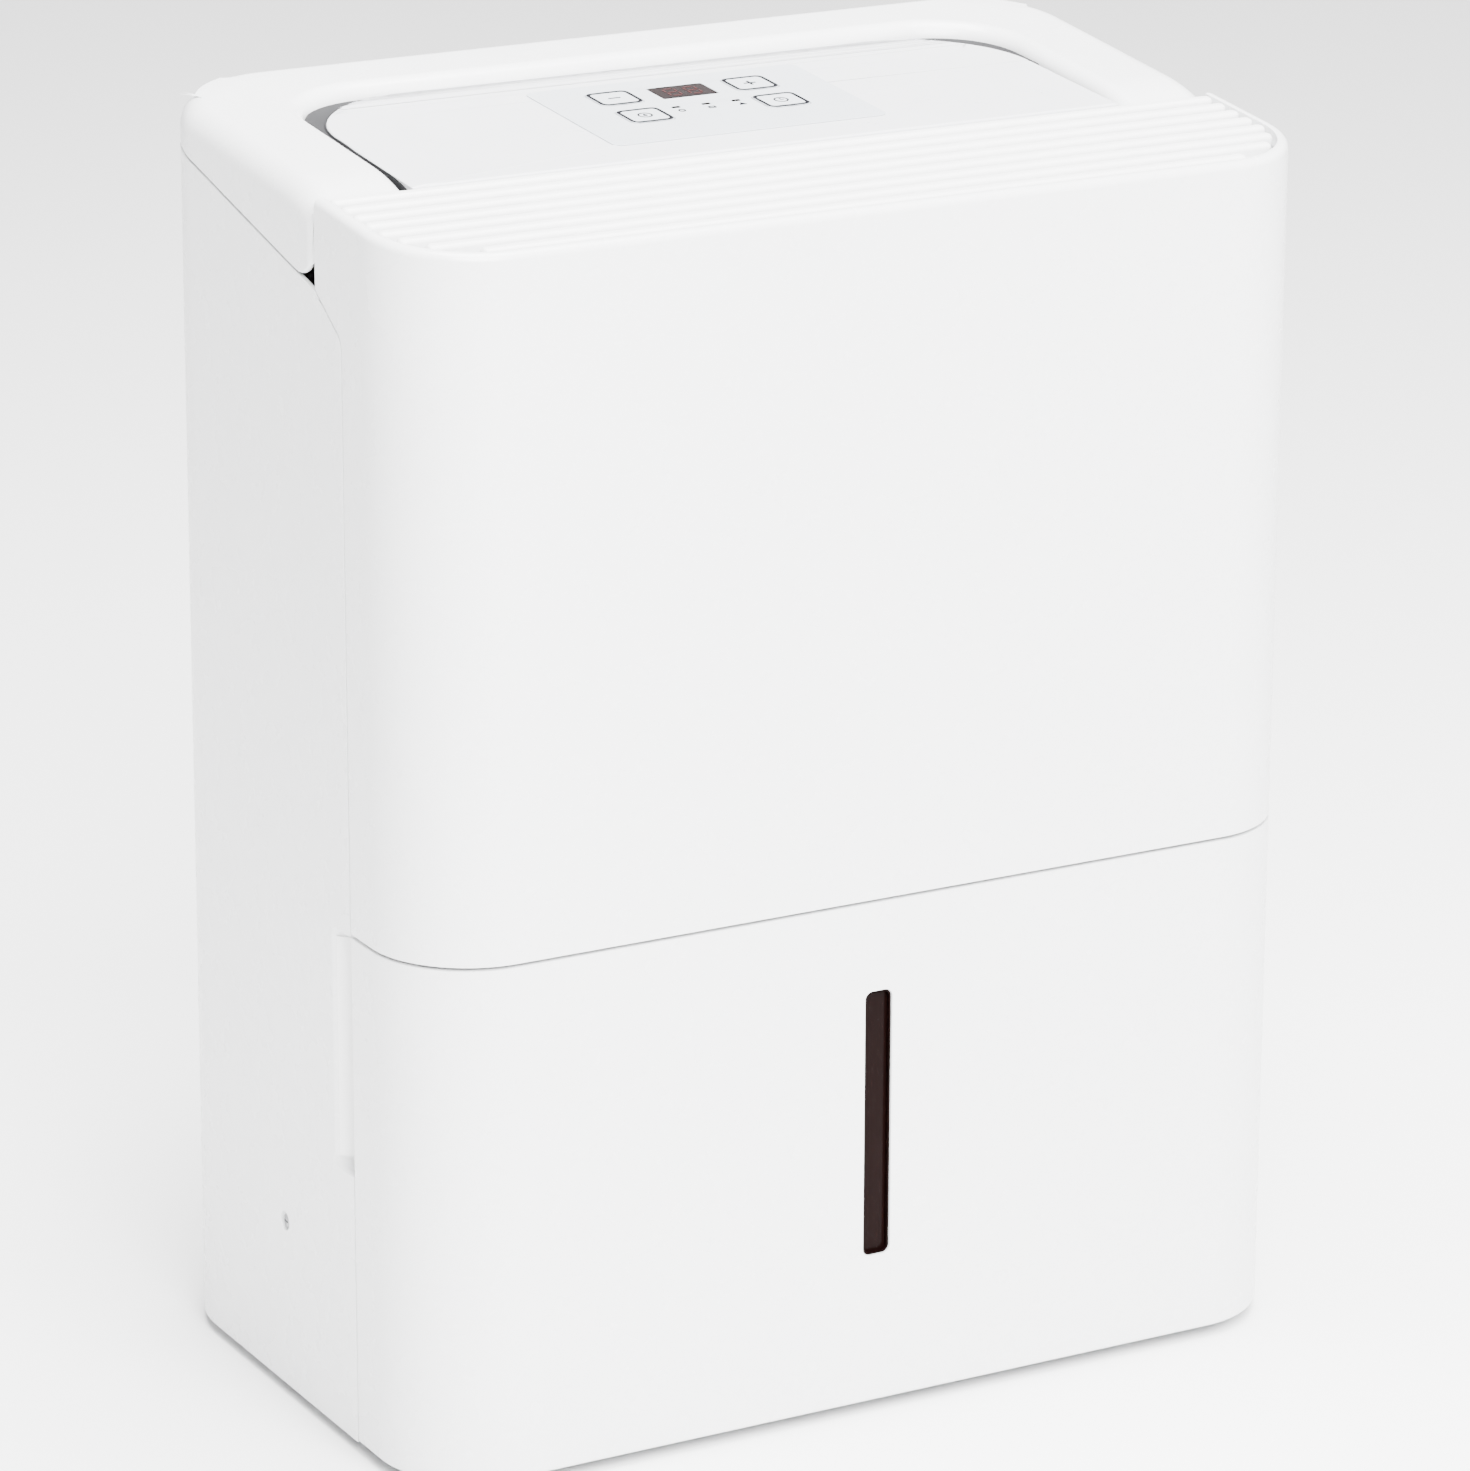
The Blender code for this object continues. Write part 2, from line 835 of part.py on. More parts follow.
def make_overlay(frame):
    film_low, film_high = 0.0002, 0.0006
    centre = (0, 0.0205)
    overlay = flat_pad("control_overlay", centre, (0.118, 0.076), film_low, film_high, 0.004)
    for opening in deck_openings(0.0004, -0.01, 0.01, "film"):
        opening.parent = frame
        cut(overlay, opening)
    finish(overlay, film(), frame)


def make_keys(frame):
    for key, centre in deck_pads().items():
        pivot = empty(f"axis_key_{key}", (*centre, 0))
        pivot.parent = frame
        cap = flat_pad(f"key_{key}", (0, 0), KEY_SIZE, -0.0040, 0.0007, 0.0030)
        finish(cap, film(), pivot)


def make_display(frame):
    pane = flat_pad("display_window", (0, KEY_ROWS[1]), DISPLAY_SIZE, -0.0035, 0.0005)
    finish(pane, smoked_lens(), frame)
    for index, centre in enumerate(led_places(), 1):
        lamp = flat_pad(f"led_{index}", centre, (0.0032, 0.0014), -0.0035, 0.0005)
        finish(lamp, lamp_lens(), frame)


def make_control_board(frame):
    board = box("control_board", (-0.062, -0.006, -0.0078), (0.062, 0.058, -0.0062))
    switches = [
        ((x - 0.003, y - 0.003, -0.0064), (x + 0.003, y + 0.003, -0.0052))
        for x, y in deck_pads().values()
    ]
    driver = [((-0.014, KEY_ROWS[1] - 0.008, -0.0064), (0.014, KEY_ROWS[1] + 0.008, -0.0042))]
    fitted = many_boxes("board_parts", switches + driver)
    fitted.parent = frame
    join(board, fitted)
    finish(board, circuit(), frame)


# Bucket


def make_bucket_front(carriage):
    top = BUCKET_SEAM_Z - BUCKET_SEAM_GAP / 2
    bottom = FOOT_HEIGHT + 0.0005
    shell = prism("bucket_front", [cabinet_outline(), cabinet_outline(WALL)], bottom, top)
    back = FRONT_SEAM_Y - SEAM_GAP / 2
    keep_inside(shell, box("keep_bucket_front", (-0.2, -0.2, -0.1), (0.2, back, 0.4)))
    # A top flange closes the gap to the tank
    flange = prism("bucket_flange", [cabinet_outline(0.001), flange_hole()], top - 0.0025, top)
    keep_inside(flange, box("keep_flange", (-0.2, -0.2, -0.1), (0.2, back, 0.4)))
    join(shell, flange)
    x, z = WINDOW_SIZE[0] / 2, WINDOW_SIZE[1] / 2
    slot = rounded(
        [
            (-x, WINDOW_Z - z, 0.003),
            (x, WINDOW_Z - z, 0.003),
            (x, WINDOW_Z + z, 0.003),
            (-x, WINDOW_Z + z, 0.003),
        ],
        4,
    )
    cut(shell, prism("cut_window", [slot], -0.2, -0.1, "Y"))
    finish(shell, white_plastic(), carriage)


def flange_hole():
    """The open mouth behind the bucket's front flange."""
    x = TANK_HALF_W - 0.006
    front = TANK_FRONT + 0.006
    return rounded([(-x, front, 0.02), (x, front, 0.02), (x, 0.05, 0), (-x, 0.05, 0)])


def tank_outline(inset=0.0):
    x = TANK_HALF_W - inset
    front, back = TANK_FRONT + inset, TANK_BACK - inset
    near, far = 0.034 - inset, 0.010 - inset
    return rounded([(-x, front, near), (x, front, near), (x, back, far), (-x, back, far)], 5)


def make_bucket(carriage):
    tank = prism("bucket", [tank_outline()], TANK_BOTTOM, TANK_TOP)
    round_edges(tank, 0.003, 2)
    room = prism("cut_tank_room", [tank_outline(TANK_WALL)], TANK_BOTTOM + TANK_WALL, TANK_TOP + 0.02)
    cut(tank, room)
    y, z = HANDLE_PIVOT
    for side in (-1, 1):
        x = side * (TANK_HALF_W - TANK_WALL)
        inner = x - side * 0.0042
        join(tank, cylinder(f"handle_boss_{side}", 0.0022, (x + side * 0.001, y, z), (inner, y, z), 12))
    add_float_bracket(tank)
    finish(tank, tank_plastic(), carriage)


def add_float_bracket(tank):
    x, y, z = FLOAT_PIVOT
    back = TANK_BACK - TANK_WALL + 0.0005
    for side in (-1, 1):
        ear = x + side * 0.0115
        low = (ear - 0.001, y - 0.004, z - 0.004)
        high = (ear + 0.001, back, z + 0.004)
        join(tank, box(f"float_ear_{side}", low, high))
        hole = cylinder(f"cut_ear_{side}", 0.0019, (ear - 0.004, y, z), (ear + 0.004, y, z), 12)
        cut(tank, hole)


def make_level_window(carriage):
    x, z = WINDOW_SIZE[0] / 2 + 0.002, WINDOW_SIZE[1] / 2 + 0.002
    front = -HALF_D + WALL + 0.0003
    low = (-x, front, WINDOW_Z - z)
    high = (x, front + 0.0015, WINDOW_Z + z)
    finish(box("level_window", low, high), smoked_lens(), carriage)


def make_bucket_handle(carriage):
    """A bail across the bucket's mouth, lying forward, on its pivot axis along X."""
    y, z = HANDLE_PIVOT
    pivot = empty("axis_handle", (0, y, z))
    pivot.parent = carriage
    x = TANK_HALF_W - TANK_WALL - 0.0048
    reach = -HANDLE_REACH
    path = bent_path([(-x, 0.004, 0), (-x, reach, 0), (x, reach, 0), (x, 0.004, 0)], HANDLE_BEND)
    bail = tube("bail_curve", path, HANDLE_RADIUS)
    handle = as_mesh("bucket_handle", bail)
    for side in (-1, 1):
        hole = cylinder(
            f"cut_handle_{side}", 0.0026, (side * (x - 0.01), 0, 0), (side * (x + 0.01), 0, 0), 12
        )
        hole.parent = pivot
        eye = cylinder(
            f"handle_eye_{side}", 0.0052, (side * (x - 0.0028), 0, 0), (side * (x + 0.0028), 0, 0), 16
        )
        eye.parent = pivot
        join(handle, eye)
        cut(handle, hole)
    finish(handle, white_plastic(), pivot)


def as_mesh(name, curve_object):
    """The curve's tube as a closed mesh that can be cut and joined."""
    bpy.context.view_layer.update()
    graph = bpy.context.evaluated_depsgraph_get()
    mesh = bpy.data.meshes.new_from_object(curve_object.evaluated_get(graph))
    work = bmesh.new()
    work.from_mesh(mesh)
    bmesh.ops.remove_doubles(work, verts=work.verts, dist=1e-6)
    bmesh.ops.recalc_face_normals(work, faces=work.faces)
    work.to_mesh(mesh)
    work.free()
    made = new_object(name, mesh)
    made.matrix_world = curve_object.matrix_world
    bpy.data.objects.remove(curve_object)
    return made


def make_float(carriage):
    """A float on an arm that swings up about a pin at the back of the bucket."""
    pivot = empty("axis_float", FLOAT_PIVOT)
    pivot.parent = carriage
    arm = box("float_arm", (-0.008, -0.040, -0.0035), (0.008, 0.0035, -0.0005))
    hub = cylinder("float_hub", 0.0035, (-0.0095, 0, 0), (0.0095, 0, 0), 12)
    pin = cylinder("float_pin", 0.0014, (-0.0135, 0, 0), (0.0135, 0, 0), 10)
    hub.parent = pivot
    pin.parent = pivot
    join(arm, hub, pin)
    finish(arm, white_plastic(), pivot)
    block = box("float_block", (-0.016, -0.044, -0.024), (0.016, -0.006, -0.0038))
    round_edges(block, 0.003, 2)
    finish(block, foam(), pivot)


def switch_at():
    return (-0.030, 0.140)


def make_bucket_switch(root):
    x, z = switch_at()
    body = box("bucket_switch", (x - 0.010, -0.0082, z - 0.006), (x + 0.010, 0.004, z + 0.006))
    cut(body, cylinder("cut_switch_bore", 0.0024, (x, -0.012, z), (x, -0.0030, z), 12))
    finish(body, painted_steel(), root)
    pivot = empty("axis_switch", (x, -0.0157, z))
    pivot.parent = root
    plunger = cylinder("switch_plunger", 0.0019, (0, 0, 0), (0, 0.0110, 0), 12)
    finish(plunger, deck_plastic(), pivot)


# Rear intake


def make_intake_cover(root):
    low, high = INTAKE_Z
    hinge = empty("axis_intake", (0, 0.1150, low + 0.0015))
    hinge.parent = root
    lift = hinge.location
    cover = box("intake_grille", (-INTAKE_HALF_W, 0.1135, low), (INTAKE_HALF_W, HALF_D - 0.0002, high))
    cover.location -= lift
    border = 0.014
    pitch = (high - low - 2 * border) / INTAKE_SLOTS
    spans = []
    for index in range(INTAKE_SLOTS):
        bottom = low + border + pitch * index + 0.0016
        top = bottom + pitch - 0.0032
        for left, right in ((-0.118, -0.041), (-0.0385, 0.0385), (0.041, 0.118)):
            spans.append(((left, 0.10, bottom), (right, 0.13, top)))
    slots = many_boxes("cut_intake_slots", spans)
    notch = cylinder("cut_pull_notch", 0.022, (0, 0.10, high + 0.013), (0, 0.13, high + 0.013), 32)
    for piece in (slots, notch):
        piece.parent = hinge
        piece.location -= lift
    cut(cover, slots, notch)
    finish(cover, white_plastic(), hinge)
    make_filter(hinge, lift)


def make_filter(hinge, lift):
    low, high = INTAKE_Z
    x, bottom, top = 0.122, low + 0.0075, high - 0.0125
    edge = 0.005
    outer = [(-x, bottom), (x, bottom), (x, top), (-x, top)]
    inner_x, inner_bottom, inner_top = x - edge, bottom + edge, top - edge
    inner = [
        (-inner_x, inner_bottom),
        (inner_x, inner_bottom),
        (inner_x, inner_top),
        (-inner_x, inner_top),
    ]
    frame = prism("filter_frame", [outer, inner], 0.1098, 0.1132, "Y")
    frame.location -= lift
    finish(frame, inner_plastic(), hinge)
    gap = 0.0003
    mesh = box(
        "filter_mesh",
        (-x + edge + gap, 0.1108, bottom + edge + gap),
        (x - edge - gap, 0.1118, top - edge - gap),
    )
    mesh.location -= lift
    finish(mesh, net(), hinge)


def make_drain(root):
    x, z = drain_port_at()
    profile = [(0.0068, 0.0135), (0.0068, -0.010), (0.0048, -0.010), (0.0048, 0.0135)]
    spout = turned("drain_spout", profile, (x, HALF_D - 0.018, z), "Y", 16)
    finish(spout, inner_plastic(), root)
    pivot = empty("axis_drain_cap", (x, HALF_D - 0.0135, z))
    pivot.parent = root
    profile = [
        (0, 0.0125),
        (0.0092, 0.0125),
        (0.0100, 0.0115),
        (0.0100, 0.0),
        (0.0073, 0.0),
        (0.0073, 0.0098),
        (0, 0.0098),
    ]
    cap = turned("drain_cap", profile, (0, 0, 0), "Y", 20)
    finish(cap, rubber(), pivot)


def make_cord_gland(root):
    x, z = gland_at()
    profile = [
        (0.0095, -0.0032),
        (0.0095, -0.0055),
        (0.0062, -0.0055 - 0.004),
        (0.0036, -0.0055 - 0.004),
        (0.0036, -0.0002),
        (0.0061, -0.0002),
        (0.0061, -0.0032),
    ]
    gland = turned("cord_gland", profile, (x, HALF_D, z), "Y", 16)
    finish(gland, rubber(), root)


# Inside


def make_bulkhead(root):
    """The wall and ceiling of the bucket bay."""
    x = HALF_W - WALL - 0.0035
    wall = box("bulkhead", (-x, -0.0110, FOOT_HEIGHT + 0.0030), (x, -0.0085, 0.2155))
    ceiling = prism("bay_ceiling", [cabinet_outline(WALL + 0.002)], 0.2130, 0.2155)
    keep_inside(ceiling, box("keep_ceiling", (-x + 0.016, -0.2, 0.2), (x - 0.016, -0.0090, 0.3)))
    join(wall, ceiling)
    for side in (-1, 1):
        low = (side * x, -0.0100, 0.058)
        high = (side * (x - 0.003), 0.0150, 0.088)
        join(wall, box(f"side_tab_{side}", low, high))
    nozzle_x, nozzle_y = nozzle_at()
    hole = cylinder("cut_nozzle", 0.0105, (nozzle_x, nozzle_y, 0.20), (nozzle_x, nozzle_y, 0.23))
    sx, sz = switch_at()
    bore = cylinder("cut_switch_way", 0.0030, (sx, -0.03, sz), (sx, 0.0, sz), 12)
    cut(wall, hole, bore)
    cut_screw_holes(wall, side_screws())
    finish(wall, inner_plastic(), root)


def nozzle_at():
    return (-0.060, -0.040)


def make_drain_tray(root):
    low, high = 0.2195, 0.2295
    tray = box("drain_tray", (-0.135, 0.052, low), (0.135, 0.108, high))
    x, y = nozzle_at()
    channel = box("tray_channel", (x - 0.013, y - 0.013, low), (x + 0.013, 0.054, high))
    nozzle = cylinder("tray_nozzle", 0.0090, (x, y, 0.197), (x, y, low + 0.001), 16)
    join(tray, channel, nozzle)
    tray_room = box("cut_tray_room", (-0.133, 0.054, low + 0.002), (0.133, 0.106, high + 0.01))
    channel_low = (x - 0.011, y - 0.011, low + 0.002)
    channel_high = (x + 0.011, 0.056, high + 0.01)
    channel_room = box("cut_channel_room", channel_low, channel_high)
    bore = cylinder("cut_nozzle_bore", 0.0065, (x, y, 0.19), (x, y, 0.25), 16)
    cut(tray, tray_room, channel_room, bore)
    finish(tray, inner_plastic(), root)


def make_coil(name, y, material_of, root):
    """A finned heat exchanger with the tube's return bends at its ends."""
    w, d, h = COIL_SIZE
    block = box(name, (-w / 2, y - d / 2, COIL_BOTTOM), (w / 2, y + d / 2, COIL_BOTTOM + h))
    pitch = w / FIN_COUNT
    spans = []
    for index in range(FIN_COUNT):
        left = -w / 2 + pitch * index + 0.0010
        low = (left, y - d, COIL_BOTTOM + 0.004)
        high = (left + pitch - 0.0020, y + d, COIL_BOTTOM + h - 0.004)
        spans.append((low, high))
    cut(block, many_boxes(f"cut_{name}_fins", spans))
    row = h / 8
    for side in (-1, 1):
        for index in range(3):
            z = COIL_BOTTOM + row * (1.5 + 2 * index + (side > 0))
            join(block, return_bend(f"{name}_bend_{side}_{index}", side * w / 2, y, z, row, side))
    finish(block, material_of, root)


def return_bend(name, x, y, z, span, side):
    """Half a ring of tube that stands out of the end plate."""
    steps = 6
    points = [(x - side * 0.0005, y, z - span / 2)]
    for step in range(steps + 1):
        angle = math.pi * step / steps - math.pi / 2
        points.append((x + side * (0.004 + span / 2 * math.cos(angle)), y, z + span / 2 * math.sin(angle)))
    points.append((x - side * 0.0005, y, z + span / 2))
    return as_mesh(name, tube(name + "_curve", points, PIPE_RADIUS))


def grommet_places():
    x, y = COMPRESSOR_AT
    reach = 0.060
    angles = (math.radians(30), math.radians(150), math.radians(270))
    return [(x + reach * math.cos(angle), y + 0.85 * reach * math.sin(angle) + 0.004) for angle in angles]


def make_compressor(root):
    x, y = COMPRESSOR_AT
    r = COMPRESSOR_RADIUS
    outer = [(0, 0.182), (0.018, 0.180), (0.036, 0.172), (r - 0.004, 0.156), (r, 0.145), (r, 0.040)]
    shell = turned("compressor", outer + [(r - 0.006, 0.030), (0, 0.030)], (x, y, 0), steps=28)
    plate = compressor_plate()
    join(shell, plate)
    finish(shell, painted_steel(), root)
    for index, (gx, gy) in enumerate(grommet_places(), 1):
        bush = [(0.0085, 0.0235), (0.0085, 0.0085), (0.0036, 0.0085), (0.0036, 0.0235)]
        grommet = turned(f"compressor_grommet_{index}", bush, (gx, gy, 0), steps=14)
        finish(grommet, rubber(), root)


def compressor_plate():
    """A three-eared base plate under the shell."""
    loops = [rounded([(gx, gy, 0) for gx, gy in ear_corners()], 3)]
    plate = prism("compressor_plate", loops, 0.0245, 0.0310)
    for index, (gx, gy) in enumerate(grommet_places()):
        cut(plate, cylinder(f"cut_ear_{index}", 0.0034, (gx, gy, 0.02), (gx, gy, 0.04), 10))
    return plate


def ear_corners():
    x, y = COMPRESSOR_AT
    corners = []
    for gx, gy in grommet_places():
        out = (Vector((gx, gy)) - Vector((x, y))).normalized()
        across = Vector((-out.y, out.x))
        tip = Vector((gx, gy)) + out * 0.009
        corners.append(tuple(tip - across * 0.010))
        corners.append(tuple(tip + across * 0.010))
    return corners


def make_accumulator(root):
    profile = [(0, 0.165), (0.010, 0.163), (0.016, 0.155), (0.016, 0.085), (0.010, 0.077), (0, 0.075)]
    flask = turned("accumulator", profile, (0.020, 0.060, 0), steps=18)
    finish(flask, painted_steel(), root)


def make_pipes(root):
    cx, cy = COMPRESSOR_AT
    suction = [
        (0.020, 0.060, 0.1655),
        (0.020, 0.060, 0.205),
        (0.020, 0.040, 0.205),
        (0.020, 0.020, 0.215),
        (0.020, 0.020, 0.300),
    ]
    suction_end = [(-0.020, 0.020, 0.3515), (-0.150, 0.020, 0.3515), (-0.150, EVAPORATOR_Y, 0.3515)]
    suction_end.append((-0.1258, EVAPORATOR_Y, 0.3515))
    path = bent_path(suction + suction_end, 0.009, 3)
    finish(tube("suction_pipe", path, PIPE_RADIUS), copper(), root)
    discharge = [
        (cx, cy, 0.1825),
        (cx, cy, 0.206),
        (cx, 0.030, 0.206),
        (cx + 0.060, 0.030, 0.230),
        (cx + 0.060, 0.030, 0.3778),
        (cx + 0.060, CONDENSER_Y, 0.3778),
        (0.1258, CONDENSER_Y, 0.3778),
    ]
    finish(tube("discharge_pipe", bent_path(discharge, 0.009, 3), PIPE_RADIUS), copper(), root)
    capillary = [
        (-0.1258, CONDENSER_Y, 0.245),
        (-0.140, CONDENSER_Y, 0.245),
        (-0.140, EVAPORATOR_Y, 0.245),
        (-0.1258, EVAPORATOR_Y, 0.245),
    ]
    finish(tube("capillary_pipe", bent_path(capillary, 0.005, 3), 0.0015), copper(), root)
    link = [(cx - COMPRESSOR_RADIUS - 0.0005, 0.056, 0.100), (0.0370, 0.058, 0.100)]
    finish(tube("accumulator_link", link, PIPE_RADIUS), copper(), root)


def scroll_outline(inset=0.0, top=0.458):
    """A round casing that opens upwards into a wide outlet."""
    x0, z0 = FAN_CENTRE
    radius = 0.100 - inset
    mouth = 0.119 - inset
    start, end = math.radians(150), math.radians(390)
    steps = 20
    points = []
    for step in range(steps + 1):
        angle = start + (end - start) * step / steps
        grow = 1 + 0.06 * step / steps
        points.append((x0 + radius * grow * math.cos(angle), z0 + radius * grow * math.sin(angle)))
    return points + [(mouth, top), (-mouth, top)]


def make_scroll(root):
    front, back = SCROLL_Y
    casing = prism("scroll_housing", [scroll_outline()], front, back, "Y")
    room = prism(
        "cut_scroll_room",
        [scroll_outline(SCROLL_WALL, 0.48)],
        front + SCROLL_WALL,
        back - SCROLL_WALL,
        "Y",
    )
    x, z = FAN_CENTRE
    inlet = cylinder("cut_scroll_inlet", 0.066, (x, back - 0.02, z), (x, back + 0.02, z), 32)
    cut(casing, room, inlet)
    finish(casing, inner_plastic(), root)


def make_fan(root):
    x, z = FAN_CENTRE
    pivot = empty("axis_fan", (x, -0.100, z))
    pivot.parent = root
    r = FAN_RADIUS
    # Heights run along +Y from the fan's front plate
    dish = [
        (0.0042, 0.034),
        (0.0090, 0.034),
        (0.0090, 0.0235),
        (0.0535, 0.0235),
        (0.0560, 0.0020),
        (r, 0.0020),
        (r, 0.0),
        (0.0540, 0.0),
        (0.0515, 0.0210),
        (0.0042, 0.0210),
    ]
    wheel = turned("fan_wheel", dish, (0, 0, 0), "Y", 32)
    join(wheel, make_blades(pivot))
    rim = [(r, 0.053), (r, 0.0500), (0.070, 0.0500), (0.070, 0.053)]
    ring = turned("fan_ring", rim, (0, 0, 0), "Y", 32)
    ring.parent = pivot
    join(wheel, ring)
    finish(wheel, inner_plastic(), pivot)
    shaft = cylinder("motor_shaft", 0.0038, (0, 0.0163, 0), (0, 0.0335, 0), 14)
    finish(shaft, steel(), pivot)


def make_blades(pivot):
    """Straight radial blades between the front plate and the end ring."""
    work = bmesh.new()
    depth = 0.0505
    inner, outer = 0.0705, FAN_RADIUS - 0.0008
    for index in range(FAN_BLADES):
        turn = Matrix.Rotation(2 * math.pi * index / FAN_BLADES, 4, "Y")
        lean = Matrix.Rotation(math.radians(24), 4, "Y")
        place = Matrix.Translation(((inner + outer) / 2, 0.001 + depth / 2, 0))
        size = Matrix.Diagonal((outer - inner - 0.0012, depth, 0.0011, 1.0))
        bmesh.ops.create_cube(work, size=1.0, matrix=turn @ place @ lean @ size)
    blades = mesh_object("fan_blades", work)
    blades.parent = pivot
    return blades


def make_motor(root):
    x, z = FAN_CENTRE
    profile = [
        (0, 0.0240),
        (0.012, 0.0240),
        (0.012, 0.0215),
        (0.040, 0.0215),
        (0.044, 0.018),
        (0.044, 0.0),
        (0, 0.0),
    ]
    motor = turned("fan_motor", profile, (x, SCROLL_Y[0] + SCROLL_WALL + 0.0003, z), "Y", 28)
    finish(motor, steel(), root)


def make_electrics(root):
    can = [(0, 0.060), (0.014, 0.060), (0.016, 0.058), (0.016, 0.0), (0, 0.0)]
    finish(turned("run_capacitor", can, (-0.110, 0.0082, 0.070), steps=20), aluminium(), root)
    sensor = box("humidity_sensor", (0.160, 0.088, 0.300), (0.172, 0.094, 0.318))
    finish(sensor, inner_plastic(), root)


def make_screws(root):
    head_radius, head = SCREW_HEAD
    shank_radius, length = SCREW_SHANK
    for index, ((x, y, z), into) in enumerate(side_screws() + rear_screws(), 1):
        profile = [
            (0, 0.0),
            (head_radius - 0.0006, 0.0),
            (head_radius, -0.0005),
            (head_radius, -head),
            (shank_radius, -head),
            (shank_radius, -length),
            (0, -length),
        ]
        screw = turned(f"screw_{index}", profile, Vector((x, y, z)) + into * 0.0003, steps=12)
        screw.rotation_euler = (-into).to_track_quat("Z", "Y").to_euler()
        drive = many_boxes(
            f"cut_drive_{index}",
            [((-0.0018, -0.0003, -0.0008), (0.0018, 0.0003, 0.001))],
        )
        cross = many_boxes(
            f"cut_drive_cross_{index}",
            [((-0.0003, -0.0018, -0.0008), (0.0003, 0.0018, 0.001))],
        )
        for slot in (drive, cross):
            slot.location = screw.location
            slot.rotation_euler = screw.rotation_euler
        cut(screw, drive, cross)
        finish(screw, steel(), root)


def main():
    root = empty("dehumidifier_origin", (0, 0, 0))
    make_base_pan(root)
    make_feet(root)
    make_rear_housing(root)
    make_front_panel(root)
    make_top_cover(root)
    make_outlet_grille(root)
    deck_frame = empty("deck_frame", (0, 0, DECK_HEIGHT), DECK_SLOPE)
    deck_frame.parent = root
    make_control_deck(root, deck_frame)
    make_overlay(deck_frame)
    make_keys(deck_frame)
    make_display(deck_frame)
    make_control_board(deck_frame)
    carriage = empty("axis_bucket", (0, 0, 0))
    carriage.parent = root
    make_bucket_front(carriage)
    make_bucket(carriage)
    make_level_window(carriage)
    make_bucket_handle(carriage)
    make_float(carriage)
    make_bucket_switch(root)
    make_intake_cover(root)
    make_drain(root)
    make_cord_gland(root)
    make_bulkhead(root)
    make_drain_tray(root)
    make_coil("evaporator", EVAPORATOR_Y, aluminium(), root)
    make_coil("condenser", CONDENSER_Y, aluminium(), root)
    make_compressor(root)
    make_accumulator(root)
    make_pipes(root)
    make_scroll(root)
    make_fan(root)
    make_motor(root)
    make_electrics(root)
    make_screws(root)


main()
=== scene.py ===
"""Finished outside, fittings and studio for a portable dehumidifier, built on its packed frame."""

import math

import bmesh
import bpy
from bpy.props import FloatProperty, FloatVectorProperty, IntProperty, PointerProperty
from mathutils import Matrix, Vector


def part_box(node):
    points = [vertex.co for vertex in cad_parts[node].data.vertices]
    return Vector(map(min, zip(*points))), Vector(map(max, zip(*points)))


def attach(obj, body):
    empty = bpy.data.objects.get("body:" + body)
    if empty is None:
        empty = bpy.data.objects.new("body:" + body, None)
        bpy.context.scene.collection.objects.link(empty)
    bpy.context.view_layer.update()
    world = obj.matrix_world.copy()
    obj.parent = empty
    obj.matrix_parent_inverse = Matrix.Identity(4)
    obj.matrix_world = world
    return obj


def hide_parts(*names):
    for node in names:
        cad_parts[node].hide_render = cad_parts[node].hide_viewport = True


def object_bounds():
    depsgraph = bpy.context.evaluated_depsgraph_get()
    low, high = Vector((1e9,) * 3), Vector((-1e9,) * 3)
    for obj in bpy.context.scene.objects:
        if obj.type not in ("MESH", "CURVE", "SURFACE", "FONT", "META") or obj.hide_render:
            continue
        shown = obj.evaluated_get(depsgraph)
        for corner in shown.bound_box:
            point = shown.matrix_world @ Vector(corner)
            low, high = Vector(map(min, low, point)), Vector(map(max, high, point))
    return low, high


bl_info = {
    "name": "Portable Dehumidifier",
    "version": (1, 0, 0),
    "blender": (4, 5, 0),
    "location": "View3D > Sidebar > Dehumidifier",
    "description": "Builds the finished pieces of a portable dehumidifier on its packed frame",
    "category": "Object",
}

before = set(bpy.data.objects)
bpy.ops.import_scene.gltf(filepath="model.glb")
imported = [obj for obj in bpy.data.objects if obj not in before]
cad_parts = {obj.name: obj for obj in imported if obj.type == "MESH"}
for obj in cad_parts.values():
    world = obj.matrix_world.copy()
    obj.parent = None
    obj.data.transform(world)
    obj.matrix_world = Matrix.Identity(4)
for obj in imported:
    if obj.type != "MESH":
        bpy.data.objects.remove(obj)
CAD_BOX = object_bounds()

# Cabinet, in metres, with the origin at the bottom centre and the front facing -Y. The top slopes
# down to the front by TOP_SLOPE, and RIM, PANEL and DECK are its heights at the middle.
HALF_W = CAD_BOX[1].x
HALF_D = CAD_BOX[1].y
FRONT_RADIUS = 0.040
REAR_RADIUS = 0.046
WALL = 0.0025
TOP_SLOPE = 0.098
SLOPE_FROM = 0.43
RIM = 0.4895
RIM_EDGE = 0.011
PANEL = 0.4886
DECK = 0.4868
DECK_SLOPE = 0.072
SEAM_Y = -0.059
SEAM_GAP = 0.0008
SHOULDER = 0.4360
CHEEK_FRONT = -0.0365
WELL_HALF_W = 0.1535
WELL_BACK = 0.0795
WELL_RADIUS = 0.0335
WELL_FILLET = 0.0065
LIP = 0.0044
LIP_ROUND = 0.0032
DECK_HALF_W = 0.1505
DECK_RADIUS = 0.047

AXES = {
    "X": Matrix(((0, 0, 1, 0), (1, 0, 0, 0), (0, 1, 0, 0), (0, 0, 0, 1))),
    "Y": Matrix(((1, 0, 0, 0), (0, 0, -1, 0), (0, 1, 0, 0), (0, 0, 0, 1))),
    "Z": Matrix.Identity(4),
}


# Picking and shaping


def deselect():
    if bpy.context.object and bpy.context.object.mode != "OBJECT":
        bpy.ops.object.mode_set(mode="OBJECT")
    bpy.ops.object.select_all(action="DESELECT")


